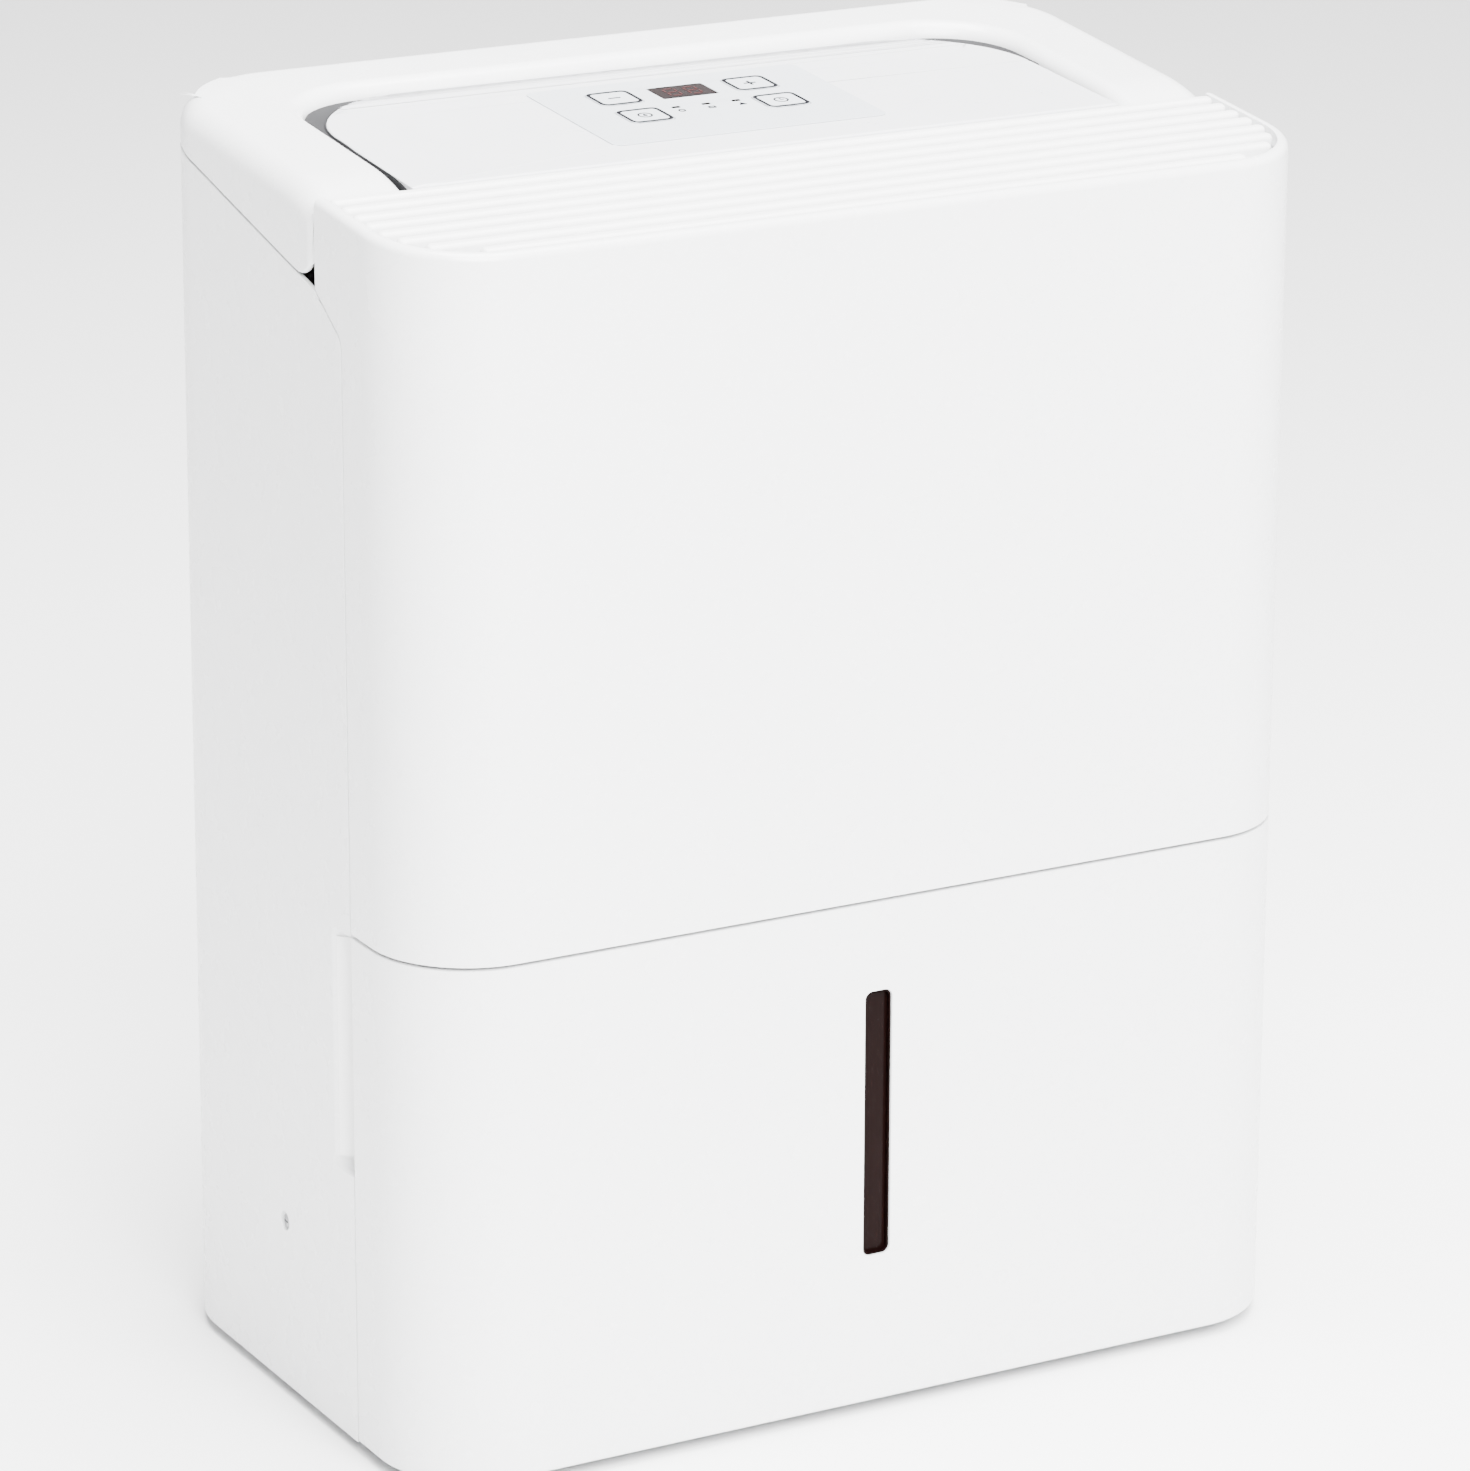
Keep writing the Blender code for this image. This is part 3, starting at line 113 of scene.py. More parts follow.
def pick(piece):
    deselect()
    piece.select_set(True)
    bpy.context.view_layer.objects.active = piece
    return piece


def fix_place(piece):
    """Moves the object's place, turn and size into its mesh."""
    pick(piece)
    bpy.ops.object.transform_apply(location=True, rotation=True, scale=True)
    return piece


def named(name):
    piece = bpy.context.object
    piece.name = name
    piece.data.name = name
    return fix_place(piece)


def block(name, low, high):
    middle = [(a + b) / 2 for a, b in zip(low, high)]
    size = [b - a for a, b in zip(low, high)]
    deselect()
    bpy.ops.mesh.primitive_cube_add(size=1, location=middle, scale=size)
    return named(name)


def rod(name, radius, start, end, sides):
    start, end = Vector(start), Vector(end)
    deselect()
    bpy.ops.mesh.primitive_cylinder_add(
        vertices=sides,
        radius=radius,
        depth=(end - start).length,
        location=(start + end) / 2,
        rotation=(end - start).to_track_quat("Z", "Y").to_euler(),
    )
    return named(name)


def edit(piece, kind, chosen, *steps):
    """Selects the chosen verts, edges or faces in edit mode and runs each step on them."""
    pick(piece)
    bpy.ops.object.mode_set(mode="EDIT")
    bpy.ops.mesh.select_mode(type=kind)
    bpy.ops.mesh.select_all(action="DESELECT")
    mesh = bmesh.from_edit_mesh(piece.data)
    parts = {"VERT": mesh.verts, "EDGE": mesh.edges, "FACE": mesh.faces}[kind]
    for part in [part for part in parts if chosen(part)]:
        part.select_set(True)
    bmesh.update_edit_mesh(piece.data)
    for operator, options in steps:
        operator(**options)
    bpy.ops.object.mode_set(mode="OBJECT")
    return piece


def everything(_part):
    return True


def round_off(piece, chosen, width, segments):
    options = {"offset": width, "segments": segments, "affect": "EDGES", "clamp_overlap": False}
    return edit(piece, "EDGE", chosen, (bpy.ops.mesh.bevel, options))


def upright(edge):
    first, last = edge.verts
    return (first.co.xy - last.co.xy).length < 1e-6


def level_at(z):
    """Chooses edges that lie at one height."""
    return lambda edge: all(abs(vert.co.z - z) < 1e-5 for vert in edge.verts)


def along(axis):
    """Chooses edges that run along one axis."""
    return lambda edge: abs(getattr((edge.verts[1].co - edge.verts[0].co).normalized(), axis)) > 0.999


def clean(piece):
    merge = (bpy.ops.mesh.remove_doubles, {"threshold": 1e-6})
    outward = (bpy.ops.mesh.normals_make_consistent, {"inside": False})
    return edit(piece, "VERT", everything, merge, outward)


def apply_modifier(piece, modifier):
    pick(piece)
    bpy.ops.object.modifier_apply(modifier=modifier.name)
    return piece


def combine(piece, other, operation):
    modifier = piece.modifiers.new(operation.lower(), "BOOLEAN")
    modifier.operation = operation
    modifier.solver = "EXACT"
    modifier.object = other
    apply_modifier(piece, modifier)
    bpy.data.objects.remove(other, do_unlink=True)
    if not piece.data.polygons:
        raise RuntimeError(f"{piece.name} has nothing left after {operation}")
    return piece


def carve(piece, *cutters):
    for cutter in cutters:
        combine(piece, cutter, "DIFFERENCE")
    return piece


def weld_on(piece, *others):
    for other in others:
        combine(piece, other, "UNION")
    return piece


def keep(piece, other):
    return combine(piece, other, "INTERSECT")


def join(name, pieces):
    """Makes one piece of several that don't need to be cut into each other."""
    deselect()
    for piece in pieces:
        piece.select_set(True)
    bpy.context.view_layer.objects.active = pieces[0]
    if len(pieces) > 1:
        bpy.ops.object.join()
    return named(name)


def added(name, data):
    made = bpy.data.objects.new(name, data)
    bpy.context.scene.collection.objects.link(made)
    return made


def copy_at(piece, name, place):
    """A copy with its own mesh, moved by a matrix."""
    mesh = piece.data.copy()
    mesh.transform(place)
    return added(name, mesh)


def soften(piece, width, segments=2, crease=35):
    """Rounds creases sharper than an angle in degrees, and evens the shading of the flat faces."""
    edit(piece, "VERT", everything, (bpy.ops.mesh.remove_doubles, {"threshold": 2e-5}))
    if width:
        bevel = piece.modifiers.new("soft_edges", "BEVEL")
        bevel.width = width
        bevel.segments = segments
        bevel.limit_method = "ANGLE"
        bevel.angle_limit = math.radians(crease)
        bevel.use_clamp_overlap = False
        bevel.miter_outer = "MITER_ARC"
        apply_modifier(piece, bevel)
    pick(piece)
    bpy.ops.object.shade_smooth_by_angle(angle=math.radians(32))
    even = piece.modifiers.new("even_shading", "WEIGHTED_NORMAL")
    even.keep_sharp = True
    return apply_modifier(piece, even)


def rounded(corners, steps=10):
    """The points of a polygon whose corners (x, y, radius) are arcs."""
    points = []
    for index, (x, y, radius) in enumerate(corners):
        here = Vector((x, y))
        if not radius:
            points.append((x, y))
            continue
        before = (Vector(corners[index - 1][:2]) - here).normalized()
        after = (Vector(corners[(index + 1) % len(corners)][:2]) - here).normalized()
        half = before.angle(after) / 2
        centre = here + (before + after).normalized() * radius / math.sin(half)
        arm = here + before * radius / math.tan(half) - centre
        turn = math.pi - 2 * half
        if before.cross(after) > 0:
            turn = -turn
        for step in range(steps + 1):
            point = centre + Matrix.Rotation(turn * step / steps, 2) @ arm
            points.append((point.x, point.y))
    return points


def rounded_box(centre, size, radius, steps=8):
    x, y = centre
    u, v = size[0] / 2, size[1] / 2
    corners = [(x - u, y - v), (x + u, y - v), (x + u, y + v), (x - u, y + v)]
    return rounded([(*corner, radius) for corner in corners], steps)


def plan(half_width, front, back, front_radius, back_radius, steps):
    """An outline seen from above, alike on its left and its right."""
    x = half_width
    corners = [(-x, front, front_radius), (x, front, front_radius)]
    corners += [(x, back, back_radius), (-x, back, back_radius)]
    return rounded(corners, steps)


def mirrored(points):
    return [(-x, y) for x, y in reversed(points)]


def add_line(curve, points):
    spline = curve.splines.new("POLY")
    spline.points.add(len(points) - 1)
    for point, place in zip(spline.points, points):
        point.co = (*place, 1)
    return spline


def flat_block(name, loops, low, high, axis="Z"):
    """A flat outline, with any holes, drawn out along an axis from low to high."""
    curve = bpy.data.curves.new(name, "CURVE")
    curve.dimensions = "2D"
    curve.fill_mode = "BOTH"
    curve.extrude = (high - low) / 2
    for points in loops:
        add_line(curve, [(u, v, 0) for u, v in points]).use_cyclic_u = True
    drawn = added(name, curve)
    middle = (low + high) / 2
    shift = {"X": (middle, 0, 0), "Y": (0, middle, 0), "Z": (0, 0, middle)}[axis]
    drawn.matrix_world = Matrix.Translation(shift) @ AXES[axis]
    pick(drawn)
    bpy.ops.object.convert(target="MESH")
    return clean(named(name))


def lathe(name, profile, place, axis="Z", steps=48):
    """Turns a profile of (radius, height), drawn down its outer side, round the Z or Y axis."""
    mesh = bpy.data.meshes.new(name)
    count = len(profile)
    closed = profile[0][0] > 0
    edges = [(i, (i + 1) % count) for i in range(count if closed else count - 1)]
    mesh.from_pydata([(radius, 0, height) for radius, height in profile], edges, [])
    made = added(name, mesh)
    made.location = place
    if axis == "Y":
        made.rotation_euler.x = -math.pi / 2
    screw = made.modifiers.new("turn", "SCREW")
    screw.steps = steps
    screw.render_steps = steps
    screw.use_merge_vertices = True
    screw.merge_threshold = 1e-6
    apply_modifier(made, screw)
    return clean(named(name))


def pipe(name, points, radius, sides):
    """A round bar along a line of points, closed at both ends. More sides make it rounder."""
    curve = bpy.data.curves.new(name, "CURVE")
    curve.dimensions = "3D"
    curve.bevel_depth = radius
    curve.bevel_resolution = sides
    curve.use_fill_caps = True
    add_line(curve, points)
    pick(added(name, curve))
    bpy.ops.object.convert(target="MESH")
    return clean(named(name))


def bent(corners, radius, steps):
    """A line in space whose inner corners are arcs of one radius."""
    corners = [Vector(corner) for corner in corners]
    points = [corners[0]]
    for before, here, after in zip(corners, corners[1:], corners[2:]):
        back = (before - here).normalized()
        ahead = (after - here).normalized()
        half = back.angle(ahead) / 2
        normal = back.cross(ahead).normalized()
        centre = here + (back + ahead).normalized() * radius / math.sin(half)
        arm = here + back * radius / math.tan(half) - centre
        turn = -(math.pi - 2 * half)
        for step in range(steps + 1):
            points.append(centre + Matrix.Rotation(turn * step / steps, 3, normal) @ arm)
    points.append(corners[-1])
    return points


def middle_of(node):
    low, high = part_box(node)
    return (low + high) / 2


def trim_to_cabinet(piece):
    """Keeps moulded edges from standing outside the cabinet by a hair."""
    low, high = CAD_BOX
    for vert in piece.data.vertices:
        vert.co = [min(max(value, a), b) for value, a, b in zip(vert.co, low, high)]
    piece.data.update()


def dressed(piece, look, slot, body, *nodes):
    """Gives a finished piece its look, its body and the frame nodes that it stands for."""
    trim_to_cabinet(piece)
    piece.data.materials.clear()
    piece.data.materials.append(look)
    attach(piece, body)
    if nodes:
        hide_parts(*nodes)
    return piece


# Finishes


def set_inputs(node, values):
    for name, value in values.items():
        node.inputs[name].default_value = value


def noise(nodes, links, place, scale, detail, stretch=None):
    made = nodes.new("ShaderNodeTexNoise")
    set_inputs(made, {"Scale": scale, "Detail": detail})
    if stretch:
        mapping = nodes.new("ShaderNodeMapping")
        mapping.inputs["Scale"].default_value = stretch
        links.new(place, mapping.inputs["Vector"])
        place = mapping.outputs["Vector"]
    links.new(place, made.inputs["Vector"])
    return made.outputs["Fac"]


def shaded(colour, share):
    return (*[channel * share for channel in colour[:3]], 1.0)


def finish(
    name,
    colour,
    roughness,
    metallic=0.0,
    drift=0.04,
    spread=0.05,
    cloud=14.0,
    grain=1400.0,
    depth=0.00002,
    coat=0.0,
    stretch=None,
    glow=0.0,
    shine=0.5,
):
    """A finish whose colour drifts softly, whose gloss is uneven and whose surface has a fine grain."""
    found = bpy.data.materials.get(name)
    if found:
        return found
    made = bpy.data.materials.new(name)
    made.use_nodes = True
    nodes, links = made.node_tree.nodes, made.node_tree.links
    shader = nodes["Principled BSDF"]
    set_inputs(shader, {"Metallic": metallic, "Specular IOR Level": shine})
    set_inputs(shader, {"Coat Weight": coat, "Coat Roughness": 0.08})
    set_inputs(shader, {"Subsurface Weight": glow, "Subsurface Radius": (0.004, 0.004, 0.004)})
    place = nodes.new("ShaderNodeTexCoord").outputs["Object"]
    clouds = noise(nodes, links, place, cloud, 3.0)
    tint = nodes.new("ShaderNodeMix")
    tint.data_type = "RGBA"
    tint.inputs[6].default_value = shaded(colour, 1.0 - drift)
    tint.inputs[7].default_value = shaded(colour, 1.0)
    links.new(clouds, tint.inputs[0])
    links.new(tint.outputs[2], shader.inputs["Base Color"])
    smears = noise(nodes, links, place, cloud * 4, 4.0, stretch)
    gloss = nodes.new("ShaderNodeMapRange")
    set_inputs(gloss, {"From Min": 0.3, "From Max": 0.7})
    set_inputs(gloss, {"To Min": max(0.02, roughness - spread), "To Max": roughness + spread})
    links.new(smears, gloss.inputs["Value"])
    links.new(gloss.outputs["Result"], shader.inputs["Roughness"])
    bump = nodes.new("ShaderNodeBump")
    set_inputs(bump, {"Distance": depth, "Strength": 0.6})
    links.new(noise(nodes, links, place, grain, 2.0, stretch), bump.inputs["Height"])
    links.new(bump.outputs["Normal"], shader.inputs["Normal"])
    return made


def studio_paper(settings):
    return finish("studio_paper", settings.floor_colour, 0.75, drift=0.0, spread=0.02, grain=300)


def white_shell(settings):
    return finish("white_shell", settings.shell_colour, 0.27, drift=0.015, coat=0.15)


def deck_shell(settings):
    return finish("deck_shell", settings.deck_colour, 0.32, drift=0.015, depth=0.00003)


def slat_white(settings):
    return finish("slat_white", settings.slat_colour, 0.34, drift=0.01)


# Painted light: a brighter, glossier copy of the shell's white, so that the pocket wall reads as lit.
def pocket_light_white():
    return finish("pocket_light_white", (0.94, 0.94, 0.94), 0.22, drift=0.01, coat=0.2)


def inner_grey():
    return finish("inner_grey", (0.42, 0.43, 0.44), 0.5, drift=0.08, depth=0.00004)


# Near-black painted shade: it stands in for the shadow in the gap round the deck, not for a black part.
def painted_shade_black():
    return finish("painted_shade_black", (0.012, 0.012, 0.014), 0.75, depth=0.00004)


def milky_tank():
    return finish("milky_tank", (0.70, 0.73, 0.75), 0.36, drift=0.03, glow=0.35)


def key_film(settings):
    return finish("key_film", settings.film_colour, 0.38, drift=0.01, depth=0.00001)


def smoked_glass():
    return finish("smoked_glass", (0.005, 0.0018, 0.0016), 0.16, drift=0.3, spread=0.04, shine=0.03)


def display_glass():
    return finish("display_glass", (0.009, 0.004, 0.0045), 0.2, drift=0.2, spread=0.04, shine=0.04)


def printed_ink():
    return finish("printed_ink", (0.008, 0.008, 0.010), 0.6, spread=0.08, shine=0.04)


def faint_ink():
    return finish("faint_ink", (0.045, 0.014, 0.014), 0.5, spread=0.05, shine=0.06)


def black_rubber():
    return finish("black_rubber", (0.022, 0.022, 0.022), 0.7, drift=0.2, depth=0.00008, grain=900)


def bright_steel():
    return finish("bright_steel", (0.56, 0.57, 0.58), 0.33, metallic=1.0, stretch=(1, 1, 12))


def dark_screw():
    return finish("dark_screw", (0.30, 0.30, 0.31), 0.42, metallic=0.9)


def fin_metal():
    return finish("fin_metal", (0.78, 0.79, 0.80), 0.32, metallic=1.0, stretch=(1, 1, 20))


def red_copper():
    return finish("red_copper", (0.72, 0.36, 0.20), 0.3, metallic=1.0, drift=0.25, cloud=60)


def black_paint():
    return finish("black_paint", (0.018, 0.018, 0.020), 0.38, drift=0.2, depth=0.00009, grain=500)


def board_green():
    return finish("board_green", (0.02, 0.16, 0.07), 0.45, drift=0.3, cloud=220)


def white_foam():
    return finish("white_foam", (0.80, 0.80, 0.78), 0.85, drift=0.08, depth=0.0003, grain=1100)


def woven_net():
    """Dark net whose crossing threads are raised."""
    made = finish("woven_net", (0.06, 0.06, 0.065), 0.6, drift=0.2)
    nodes, links = made.node_tree.nodes, made.node_tree.links
    if nodes.get("threads"):
        return made
    place = nodes.new("ShaderNodeTexCoord").outputs["Object"]
    bands = []
    for direction in ("X", "Z"):
        wave = nodes.new("ShaderNodeTexWave")
        wave.bands_direction = direction
        wave.inputs["Scale"].default_value = 130.0
        links.new(place, wave.inputs["Vector"])
        bands.append(wave.outputs["Fac"])
    threads = nodes.new("ShaderNodeMath")
    threads.name = "threads"
    threads.operation = "MAXIMUM"
    links.new(bands[0], threads.inputs[0])
    links.new(bands[1], threads.inputs[1])
    bump = nodes["Bump"]
    set_inputs(bump, {"Distance": 0.0004, "Strength": 1.0})
    links.new(threads.outputs[0], bump.inputs["Height"])
    tint = nodes["Mix"]
    tint.inputs[6].default_value = (0.008, 0.008, 0.010, 1)
    tint.inputs[7].default_value = (0.16, 0.16, 0.17, 1)
    links.new(threads.outputs[0], tint.inputs[0])
    return made


# Cabinet forms


def cabinet_form(name, low, high, inset=0.0, edge=0.0):
    """A block with the cabinet's plan corners. edge rounds the outline of its top."""
    x, y = HALF_W - inset, HALF_D - inset
    form = block(name, (-x, -y, low), (x, y, high))
    round_off(form, lambda e: upright(e) and e.verts[0].co.y < 0, FRONT_RADIUS - inset, 24)
    round_off(form, lambda e: upright(e) and e.verts[0].co.y > y - 1e-5, REAR_RADIUS - inset, 24)
    if edge:
        round_off(form, level_at(high), edge, 10)
    return clean(form)


def slope_top(form):
    """Tilts the top down towards the front."""
    for vert in form.data.vertices:
        if vert.co.z > SLOPE_FROM:
            vert.co.z += TOP_SLOPE * vert.co.y
    return form


def tilted(piece, height, slope):
    """Lays a piece that was made level onto the sloping top."""
    place = Matrix.Translation((0, 0, height)) @ Matrix.Rotation(math.atan(slope), 4, "X")
    piece.data.transform(place)
    piece.data.update()
    return piece


def leaned(piece):
    """Draws the back of the cabinet in a little towards its top."""
    start, lean = 0.062, 0.012
    for vert in piece.data.vertices:
        weight = min(1.0, max(0.0, (vert.co.y - start) / (HALF_D - start)))
        vert.co.y -= lean * vert.co.z * weight
    piece.data.update()
    return piece


def seam_z(y, drop=0.0):
    """Height of the sloping seam between the rear housing and the top cover."""
    return 0.4593 - drop + 0.24 * y


def well_outline(inset=0.0, front=-0.2):
    """The well round the deck, open to the front unless it is given an end there."""
    return plan(WELL_HALF_W - inset, front, WELL_BACK - inset, 0, WELL_RADIUS - inset, 16)


# Rear housing


POCKET_Z = (0.113, 0.2085)
POCKET_BACK = -0.043
POCKET_DEPTH = 0.020
POCKET_ROUND = 0.004
HOUSING_FOOT = 0.0045
DRAIN_RECESS = 0.016
SCREW_SUNK = 0.0004


def housing_side():
    """The housing in side view, stepped forward below the cover's cheeks."""
    front = SEAM_Y + SEAM_GAP / 2
    return rounded(
        [
            (front, HOUSING_FOOT, 0),
            (0.15, HOUSING_FOOT, 0),
            (0.15, seam_z(0.15, SEAM_GAP / 2), 0),
            (CHEEK_FRONT - 0.0005, seam_z(CHEEK_FRONT, SEAM_GAP / 2), 0.003),
            (front, SHOULDER, 0.008),
        ],
        8,
    )


def pocket_block(name, side, back, spare, low, high, ahead):
    """A wedge in plan, from the cabinet's side in towards the front. spare moves its back edge out."""
    inner, outer = HALF_W - POCKET_DEPTH, HALF_W + spare
    points = [(outer, back + spare), (inner, back - POCKET_DEPTH), (inner, ahead), (outer, ahead)]
    return flat_block(name, [points if side > 0 else mirrored(points)], low, high)


def build_housing(settings):
    shell = cabinet_form("housing_shell", 0.0, 0.52)
    carve(shell, cabinet_form("room", -0.01, 0.53, WALL))
    low, high = POCKET_Z
    for side in (-1, 1):
        back, under, over = POCKET_BACK + 0.003, low - WALL, high + WALL
        weld_on(shell, pocket_block("pocket_wall", side, back, -0.001, under, over, -0.07))
    keep(shell, flat_block("housing_side", [housing_side()], -0.3, 0.3, "X"))
    for side in (-1, 1):
        scoop = pocket_block("scoop", side, POCKET_BACK, 0.01, low, high, -0.075)
        round_off(scoop, lambda e: level_at(low)(e) or level_at(high)(e), POCKET_ROUND, 6)
        carve(shell, scoop)
    carve_openings(shell)
    soften(shell, settings.edge_softness)
    dressed(leaned(shell), white_shell(settings), "white_plastic", "cabinet", "rear_housing")
    # Each finger pocket gets a sheet of painted light on its slanting wall.
    for side, name in ((-1, "left"), (1, "right")):
        build_pocket_light_sheet(side, name)


def build_pocket_light_sheet(side, name):
    """A thin bright sheet on the slanting wall of a finger pocket."""
    low, high = POCKET_Z[0] + POCKET_ROUND, POCKET_Z[1] - POCKET_ROUND
    ahead = POCKET_BACK - 0.0001
    lining = pocket_block(f"pocket_light_sheet_{name}", side, ahead, -0.0012, low, high, -0.066)
    carve(lining, pocket_block("pocket_air", side, ahead - 0.0006, 0.01, *POCKET_Z, -0.09))
    soften(lining, 0)
    dressed(leaned(lining), pocket_light_white(), "white_plastic", "cabinet")


def carve_openings(shell):
    """Cuts the intake opening, the drain recess, the cord hole and the screw wells."""
    intake_low, intake_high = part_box("intake_grille")
    gap = Vector((0.0012, 0.02, 0.0012))
    intake = block("intake_opening", intake_low - gap, intake_high + gap)
    carve(shell, round_off(intake, along("y"), 0.003, 6))
    x, z = drain_centre()
    floor = HALF_D - DRAIN_RECESS
    cup = rod("cup", 0.0185, (x, floor - WALL, z), (x, HALF_D - 0.001, z), 48)
    weld_on(shell, cup)
    carve(shell, rod("cup_room", 0.016, (x, floor, z), (x, HALF_D + 0.01, z), 48))
    carve(shell, rod("spout_hole", 0.0072, (x, floor - 0.01, z), (x, HALF_D, z), 32))
    x, _, z = middle_of("cord_gland")
    carve(shell, rod("cord_hole", 0.0064, (x, 0.10, z), (x, 0.13, z), 32))
    for place, into in screw_places():
        carve(shell, rod("screw_well", 0.0037, place - into * 0.002, place + into * 0.0017, 24))
        carve(shell, rod("screw_hole", 0.0018, place - into * 0.002, place + into * 0.010, 16))


def drain_centre():
    centre = middle_of("drain_spout")
    return centre.x, centre.z


def screw_places():
    """Where each housing screw starts, and its direction."""
    sides = [(Vector((side * HALF_W, 0.004, 0.073)), Vector((-side, 0, 0))) for side in (-1, 1)]
    rears = [(Vector((side * 0.125, HALF_D, 0.016)), Vector((0, -1, 0))) for side in (-1, 1)]
    return sides + rears


# Front panel and bucket


PANEL_BOTTOM = 0.2098
PANEL_CEILING = 0.467
WINDOW_SLOT = (0.0115, 0.1075)
WINDOW_ROUND = 0.0030
BAIL_Y, BAIL_Z = -0.066, 0.163
FLOAT_X, FLOAT_Y, FLOAT_Z = -0.130, -0.024, 0.150
TANK_WALL = 0.0022


def panel_side():
    """The front panel in side view. Its top reaches back to the cover's cheeks."""
    rear = SEAM_Y - SEAM_GAP / 2
    upper = CHEEK_FRONT - 0.0011
    return rounded(
        [
            (-0.13, PANEL_BOTTOM, 0),
            (rear, PANEL_BOTTOM, 0),
            (rear, SHOULDER + 0.0004, 0.008),
            (upper, seam_z(CHEEK_FRONT) + 0.0003, 0.002),
            (upper, 0.52, 0),
            (-0.13, 0.52, 0),
        ],
        8,
    )


def build_front_panel(settings):
    shell = cabinet_form("front_shell", 0.19, PANEL, edge=LIP_ROUND)
    slope_top(shell)
    carve(shell, cabinet_form("room", 0.18, PANEL_CEILING, WALL))
    carve(shell, cabinet_form("mouth", 0.40, 0.55, LIP))
    keep(shell, flat_block("panel_side", [panel_side()], -0.3, 0.3, "X"))
    soften(shell, settings.edge_softness)
    dressed(shell, white_shell(settings), "white_plastic", "cabinet", "front_panel")


def build_bucket_front(settings):
    low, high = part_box("bucket_front")
    shell = cabinet_form("bucket_shell", low.z, high.z)
    round_off(shell, level_at(low.z), 0.0022, 5)
    carve(shell, cabinet_form("room", low.z - 0.01, high.z + 0.01, WALL))
    flange = flat_block("flange", [flange_outline(), flange_mouth()], high.z - WALL, high.z)
    weld_on(shell, flange)
    keep(shell, block("front_part", (-0.2, -0.2, -0.1), (0.2, high.y, 0.4)))
    slot = rounded_box((0, middle_of("level_window").z), WINDOW_SLOT, WINDOW_ROUND)
    carve(shell, flat_block("window_slot", [slot], -0.2, -0.1, "Y"))
    soften(shell, settings.edge_softness)
    dressed(shell, white_shell(settings), "white_plastic", "bucket", "bucket_front")
    build_window()


def flange_outline():
    """The flange in plan, from the bucket's front shell back to the tank."""
    inset = 0.001
    return plan(HALF_W - inset, -(HALF_D - inset), 0, FRONT_RADIUS - inset, 0, 16)


def flange_mouth():
    return plan(0.161, -0.1065, -0.01, 0.02, 0, 12)


def build_window():
    """The sight glass behind the slot, and the dark frame that lines the slot."""
    low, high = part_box("level_window")
    centre = (0, middle_of("level_window").z)
    outline = rounded_box(centre, (0.0152, 0.1112), 0.004)
    pane = flat_block("sight_glass", [outline], low.y, high.y, "Y")
    soften(pane, 0.0003)
    dressed(pane, smoked_glass(), "smoked_lens", "bucket", "level_window")
    loops = [
        rounded_box(centre, (0.0112, 0.1072), 0.0029),
        rounded_box(centre, (0.0098, 0.1058), 0.0024),
    ]
    lining = flat_block("sight_glass_frame", loops, -0.1172, low.y - 0.0001, "Y")
    soften(lining, 0.0002)
    dressed(lining, smoked_glass(), "smoked_lens", "bucket")


def build_tank(settings):
    """The tank with the bosses of its bail and the ears of its float."""
    low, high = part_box("bucket")
    tank = tank_form("tank", low.z, high.z, 0.0)
    round_off(tank, level_at(low.z), 0.006, 6)
    floor = low.z + TANK_WALL
    room = tank_form("tank_room", floor, high.z + 0.02, TANK_WALL)
    round_off(room, level_at(floor), 0.004, 6)
    carve(tank, room)
    for side in (-1, 1):
        x = side * (high.x - TANK_WALL)
        start, end = (x + side * 0.001, BAIL_Y, BAIL_Z), (x - side * 0.0042, BAIL_Y, BAIL_Z)
        weld_on(tank, rod("boss", 0.0022, start, end, 24))
        add_ear(tank, FLOAT_X + side * 0.0115)
    soften(tank, 0.0005)
    dressed(tank, milky_tank(), "tank_plastic", "bucket", "bucket")
    build_bail(settings)
    build_float(settings)


def add_ear(tank, x):
    """A plate with a hole for the float's pin, standing on the tank's rear wall."""
    y, z = FLOAT_Y, FLOAT_Z
    ear = block("ear", (x - 0.001, y - 0.004, z - 0.004), (x + 0.001, y + 0.0063, z + 0.004))
    weld_on(tank, round_off(ear, lambda e: along("x")(e) and e.verts[0].co.y < y - 0.003, 0.0035, 6))
    carve(tank, rod("ear_hole", 0.0019, (x - 0.004, y, z), (x + 0.004, y, z), 20))


def tank_form(name, low, high, inset):
    """A block with the tank's plan, drawn in on every side by the inset."""
    box_low, box_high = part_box("bucket")
    x = box_high.x - inset
    front, back = box_low.y + inset, box_high.y - inset
    form = block(name, (-x, front, low), (x, back, high))
    round_off(form, lambda e: upright(e) and e.verts[0].co.y < -0.1, 0.034 - inset, 16)
    return round_off(form, lambda e: upright(e) and e.verts[0].co.y > back - 1e-5, 0.010 - inset, 8)


def build_bail(settings):
    y, z = BAIL_Y, BAIL_Z
    x, reach = 0.160, 0.036
    path = bent([(-x, y + 0.002, z), (-x, y - reach, z), (x, y - reach, z), (x, y + 0.002, z)], 0.034, 12)
    bail = pipe("bail", path, 0.0035, 6)
    for side in (-1, 1):
        eye = rod("eye", 0.0052, (side * (x - 0.0028), y, z), (side * (x + 0.0028), y, z), 32)
        weld_on(bail, eye)
        carve(bail, rod("eye_hole", 0.0026, (side * (x - 0.01), y, z), (side * (x + 0.01), y, z), 24))
    soften(bail, 0.0004)
    dressed(bail, white_shell(settings), "white_plastic", "bail", "bucket_handle")


